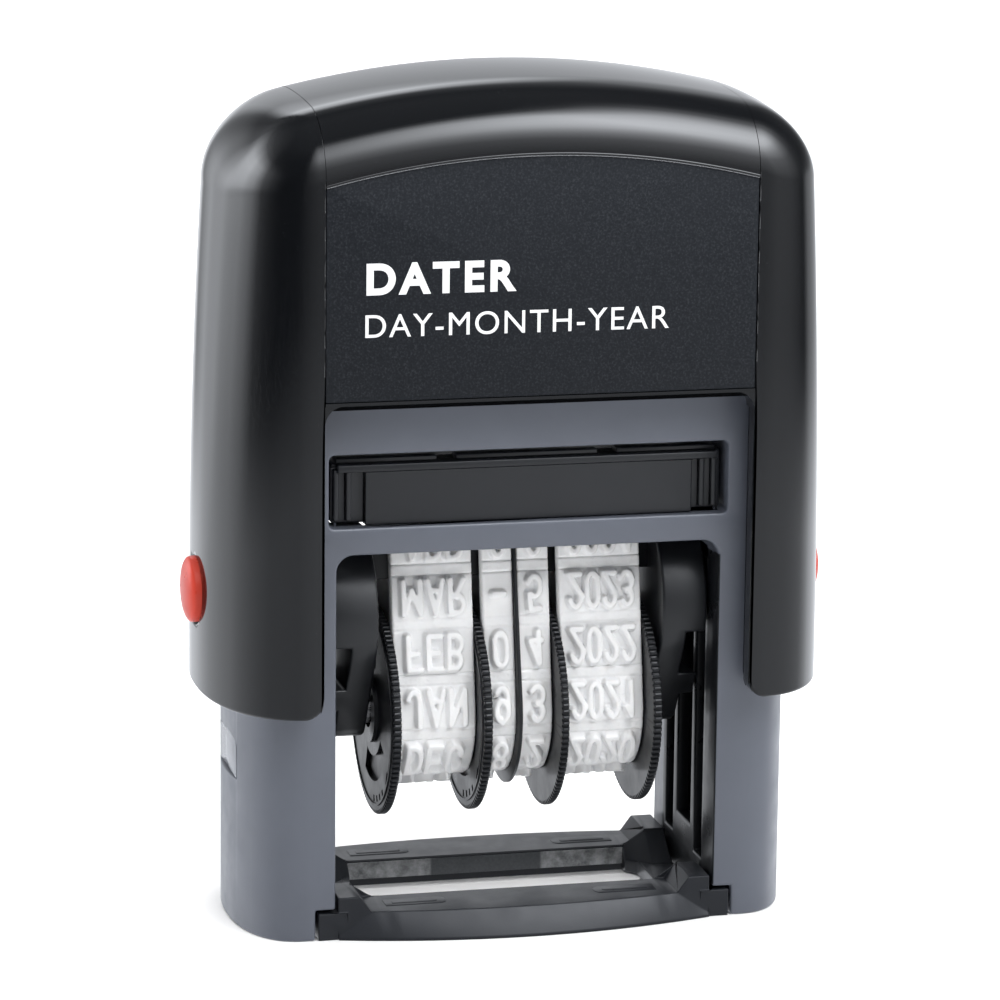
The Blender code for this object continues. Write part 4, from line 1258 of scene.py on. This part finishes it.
# ---- printed marks on the front
def words(name, text, x, z, height, width, fat):
    """A line of plain lettering as thin raised ink; x and z give its lower left corner."""
    capital = 0.729  # height of the font's capitals at size 1
    curve = bpy.data.curves.new(name, "FONT")
    curve.body = text
    curve.size = height / capital
    curve.offset = fat
    curve.resolution_u = 8
    helper = bpy.data.objects.new(name, curve)
    bpy.context.scene.collection.objects.link(helper)
    bpy.context.view_layer.update()
    curve.space_character = width / helper.dimensions.x
    bpy.context.view_layer.update()
    mesh = bpy.data.meshes.new_from_object(helper)
    bpy.data.objects.remove(helper)
    bm = bmesh.new()
    bm.from_mesh(mesh)
    bpy.data.meshes.remove(mesh)
    bmesh.ops.remove_doubles(bm, verts=bm.verts, dist=1e-3)
    raised = bmesh.ops.extrude_face_region(bm, geom=bm.faces[:])["geom"]
    moved = [v for v in raised if isinstance(v, bmesh.types.BMVert)]
    bmesh.ops.translate(bm, verts=moved, vec=(0, 0, 0.03))
    left = min(v.co.x for v in bm.verts)
    for vertex in bm.verts:
        across, up, out = vertex.co
        vertex.co = (x + across - left, 0.01 - FILM_FACE - out, z + up)
    place(new_piece(name, bm, LOOKS["print"]), "press_cap", "print")


def print_mark():
    """Plain white lettering: one bold word over a thin line."""
    words("title_mark", "DATER", -18.3, 68.8, 3.1, 16.6, 0.16)
    words("caption_mark", "DAY-MONTH-YEAR", -18.4, 64.35, 2.45, 32.3, 0.0)


def label_trim(end):
    """The cut edge of the film along a label's arched top, coloured pale as a painted highlight."""
    round_edge = arc((0, 0), 0.075, 0, 315, 7)
    rings = []
    for i in range(61):
        x = (SEAM - 0.1) * (1 - i / 30)
        rings.append([(x, end * CAP_HALF_DEPTH + deep, label_top(x) + 0.02 + up)
                      for deep, up in round_edge])
    name = "front_panel_edge" if end < 0 else "rear_panel_edge"
    place(new_piece(name, loft(rings), LOOKS["film_edge_painted_highlight"], 60), "press_cap", "film_edge_painted_highlight")


# ---- carried-over nodes
def repaint(node, look):
    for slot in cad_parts[node].material_slots:
        slot.material = LOOKS[look]


# ---- stage
def area_light(name, place_mm, target_mm, width, height, power, colour=(1, 1, 1)):
    light = bpy.data.lights.new(name, "AREA")
    light.shape = "RECTANGLE"
    light.size = width * MM
    light.size_y = height * MM
    light.energy = power
    light.color = colour
    obj = bpy.data.objects.new(name, light)
    bpy.context.scene.collection.objects.link(obj)
    obj.location = Vector(place_mm) * MM
    aim = (Vector(target_mm) - Vector(place_mm)).normalized()
    obj.rotation_euler = aim.to_track_quat("-Z", "Y").to_euler()
    obj.visible_glossy = False


def camera():
    """The photograph's view: a long lens from the front left, a little above."""
    azimuth, elevation, roll = (math.radians(a) for a in (-13.75, 12.63, 0.648))
    distance = 495.8
    back = Vector((math.sin(azimuth) * math.cos(elevation),
                   -math.cos(azimuth) * math.cos(elevation), math.sin(elevation)))
    right = (-back).cross(Vector((0, 0, 1))).normalized()
    up = right.cross(-back)
    x_axis = math.cos(roll) * right + math.sin(roll) * up
    y_axis = -math.sin(roll) * right + math.cos(roll) * up
    aim = Vector((-0.384, 0, 43.42))
    data = bpy.data.cameras.new("camera")
    data.sensor_width = 36
    data.lens = 169.74
    data.clip_start = 0.01
    data.clip_end = 20
    obj = bpy.data.objects.new("camera", data)
    bpy.context.scene.collection.objects.link(obj)
    rotation = Matrix((x_axis, y_axis, back)).transposed()
    obj.matrix_world = Matrix.Translation((aim + back * distance) * MM) @ rotation.to_4x4()
    bpy.context.scene.camera = obj


def stage():
    """A white floor that glows far out, where the lights fall off, and five soft lights."""
    bpy.context.scene.view_settings.view_transform = "Standard"
    paint = Nodes("floor_white")
    distance = paint.node("ShaderNodeVectorMath", Vector=paint.place)
    distance.operation = "LENGTH"
    glow_from, glow_full, per_metre = 0.60, 0.88, 0.25
    lit = paint.ramp(paint.maths("MULTIPLY", distance.outputs["Value"], per_metre),
                     [(glow_from * per_metre, 0.0), (glow_full * per_metre, 1.0)])
    cloud = paint.mix(paint.noise(4, 2), (0.90, 0.90, 0.905), (0.93, 0.93, 0.93))
    white = paint.done(Base_Color=cloud,
                       Roughness=0.8, Specular_IOR_Level=0.1, Emission_Color=(1, 1, 1, 1),
                       Emission_Strength=lit)
    bm = bmesh.new()
    bmesh.ops.create_grid(bm, x_segments=1, y_segments=1, size=4000)
    floor = new_piece("floor", bm, white)
    floor.visible_glossy = False

    area_light("key", (150, -420, 560), (0, 0, 45), 460, 420, 3.2)
    area_light("left", (-560, -120, 160), (0, 0, 40), 420, 520, 0.9, (0.97, 0.98, 1.0))
    area_light("top", (0, 60, 900), (0, 0, 0), 1000, 900, 15.0)
    area_light("right", (520, -200, 200), (0, 0, 40), 300, 420, 0.9)
    area_light("back", (60, 620, 420), (0, 0, 40), 600, 400, 2.6)


# Softboxes as polished surfaces mirror them: a level, then (degrees, share) stops across and
# upwards. Across, 0 is straight ahead of the front face, and the viewer's right is positive.
SOFTBOXES = (
    # key, above on the front right
    (12.0, ((-30, 0), (-22, 0.02), (-7, 0.23), (7, 0.48), (22, 0.78), (37, 1), (52, 0.92),
            (67, 0.76), (82, 0.44), (97, 0.13), (112, 0.02), (122, 0)),
     ((-11, 0.05), (-1, 0.085), (11, 0.12), (17, 0.145), (23, 0.17), (29, 0.27), (35, 0.39),
      (41, 0.59), (47, 0.86), (53, 1), (59, 0.98), (65, 0.8), (70, 0.35), (74, 0.06), (78, 0))),
    # tall, on the left
    (5.6, ((-170, 0), (-160, 0.06), (-152, 0.25), (-142, 0.63), (-127, 1), (-112, 0.82),
           (-97, 0.22), (-82, 0.08), (-67, 0.015), (-55, 0)),
     ((-11, 0.25), (-7, 0.34), (-1, 0.64), (5, 0.78), (11, 0.88), (17, 1), (23, 0.97),
      (29, 0.56), (35, 0.18), (41, 0.08), (50, 0.04), (62, 0))),
    # wall behind
    (0.72, ((-180, 1), (-178, 1), (-174, 0.1), (-165, 0.05), (-155, 0), (138, 0.03),
            (147, 0.15), (155, 0.95), (165, 1)),
     ((-11, 0.9), (-4, 1), (20, 1), (32, 0.9), (38, 0.5), (46, 0.2), (54, 0))),
    # bright patch high on that wall
    (1.9, ((-180, 1), (-177, 1), (-173, 0), (160, 0), (166, 0.6), (172, 1)),
     ((17, 0), (23, 0.5), (28, 1), (36, 0.9), (40, 0.3), (43, 0))),
    # low bands behind, on the left and on the right
    (0.85, ((-180, 0.4), (-172, 0.4), (-165, 1), (-150, 1), (-142, 0.3), (-130, 0), (170, 0),
            (178, 0.4)),
     ((-11, 1), (2, 1), (9, 0.5), (13, 0.3), (17, 0))),
    (0.6, ((104, 0), (118, 1), (158, 1), (168, 0)),
     ((-11, 1), (-4, 0.9), (0, 0.35), (5, 0.1), (12, 0))),
)
CEILING = ((0, 0.06), (50, 0.1), (66, 0.2), (90, 0.23))
TABLE = ((-180, 1.2), (-150, 1.2), (-120, 1.55), (-80, 1.0), (-60, 0.8), (-15, 0.75),
         (30, 1.05), (95, 1.1), (120, 1.8), (150, 1.3), (180, 1.2))
TABLE_EDGE = ((-12.6, 1.0), (-10.2, 0.0))


def surroundings():
    """The studio that polished surfaces mirror: the softboxes, a ceiling and a pale table."""
    world = bpy.data.worlds.new("studio")
    bpy.context.scene.world = world
    world.use_nodes = True
    world.cycles_visibility.diffuse = False
    n = Wiring(world.node_tree)
    x, y, z = n.node("ShaderNodeSeparateXYZ", Vector=n.coordinates["Generated"]).outputs
    around = n.maths("ARCTAN2", x, n.maths("MULTIPLY", y, -1.0))
    around = n.maths("MULTIPLY_ADD", around, 0.5 / math.pi, 0.5)
    height = n.maths("MULTIPLY_ADD", n.maths("ARCSINE", z), 1 / math.pi, 0.5)

    def across(stops):
        return n.ramp(around, [((angle + 180) / 360, share) for angle, share in stops])

    def upwards(stops):
        return n.ramp(height, [((angle + 90) / 180, share) for angle, share in stops])

    glow = upwards(CEILING)
    for level, sideways, upright in SOFTBOXES:
        shape = n.maths("MULTIPLY", across(sideways), upwards(upright))
        glow = n.maths("ADD", glow, n.maths("MULTIPLY", shape, level))
    below = upwards(TABLE_EDGE)
    light = n.maths("ADD", n.maths("MULTIPLY", across(TABLE), below),
                    n.maths("MULTIPLY", glow, n.maths("SUBTRACT", 1.0, below)))
    cool = n.node("ShaderNodeCombineXYZ", X=n.maths("MULTIPLY", light, 0.97), Y=light,
                  Z=n.maths("MULTIPLY", light, 1.05))
    ground = n.tree.nodes["Background"]
    n.put(ground.inputs["Color"], cool.outputs["Vector"])
    ground.inputs["Strength"].default_value = 1.0


# ---- build
camera()
stage()
surroundings()

ends = [end_cap(side) for side in (-1, 1)]
for piece in ends:
    place(piece, "press_cap", "gloss")
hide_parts("cap_shell")
corners = new_piece("cap_window_corners",
                    together(*[cap_corner(side, end) for side in (-1, 1) for end in (-1, 1)]),
                    LOOKS["gloss"])
place(corners, "press_cap", "gloss")
place(cover(), "press_cap", "gloss", "index_cover")
place(label_plate(-1), "press_cap", "label", "front_label")
place(label_plate(1), "press_cap", "label", "rear_label")
label_trim(-1)
label_trim(1)
print_mark()

base()
foot()
tray()
felt()
for side in (-1, 1):
    button(side)
    cheek(side)
spring()
divider()
bridge()
axle()

band("band_months", "month_band", -13.1, -4.5, month_text, 1.35, 0.32, 1)
band("band_tens", "tens_band", -3.4, -0.15, tens_text, 1.25, 0.3, 2)
band("band_units", "units_band", 0.35, 3.75, units_text, 1.25, 0.3, 3)
band("band_years", "year_band", 4.85, 13.65, year_text, 1.15, 0.22, 4)
wheel("wheel_months", "month_wheel", "month_setting", (-14.1, -13.2), (-13.3, -4.65), True)
wheel("wheel_tens", "tens_wheel", "tens_setting", (-4.4, -3.5), (-3.6, -0.35), True)
wheel("wheel_units", "units_wheel", "units_setting", (4.7, 3.9), (0.55, 4.0), False)
wheel("wheel_years", "year_wheel", "year_setting", (14.7, 13.8), (4.95, 13.9), False)
repaint("press_bracket", "black")
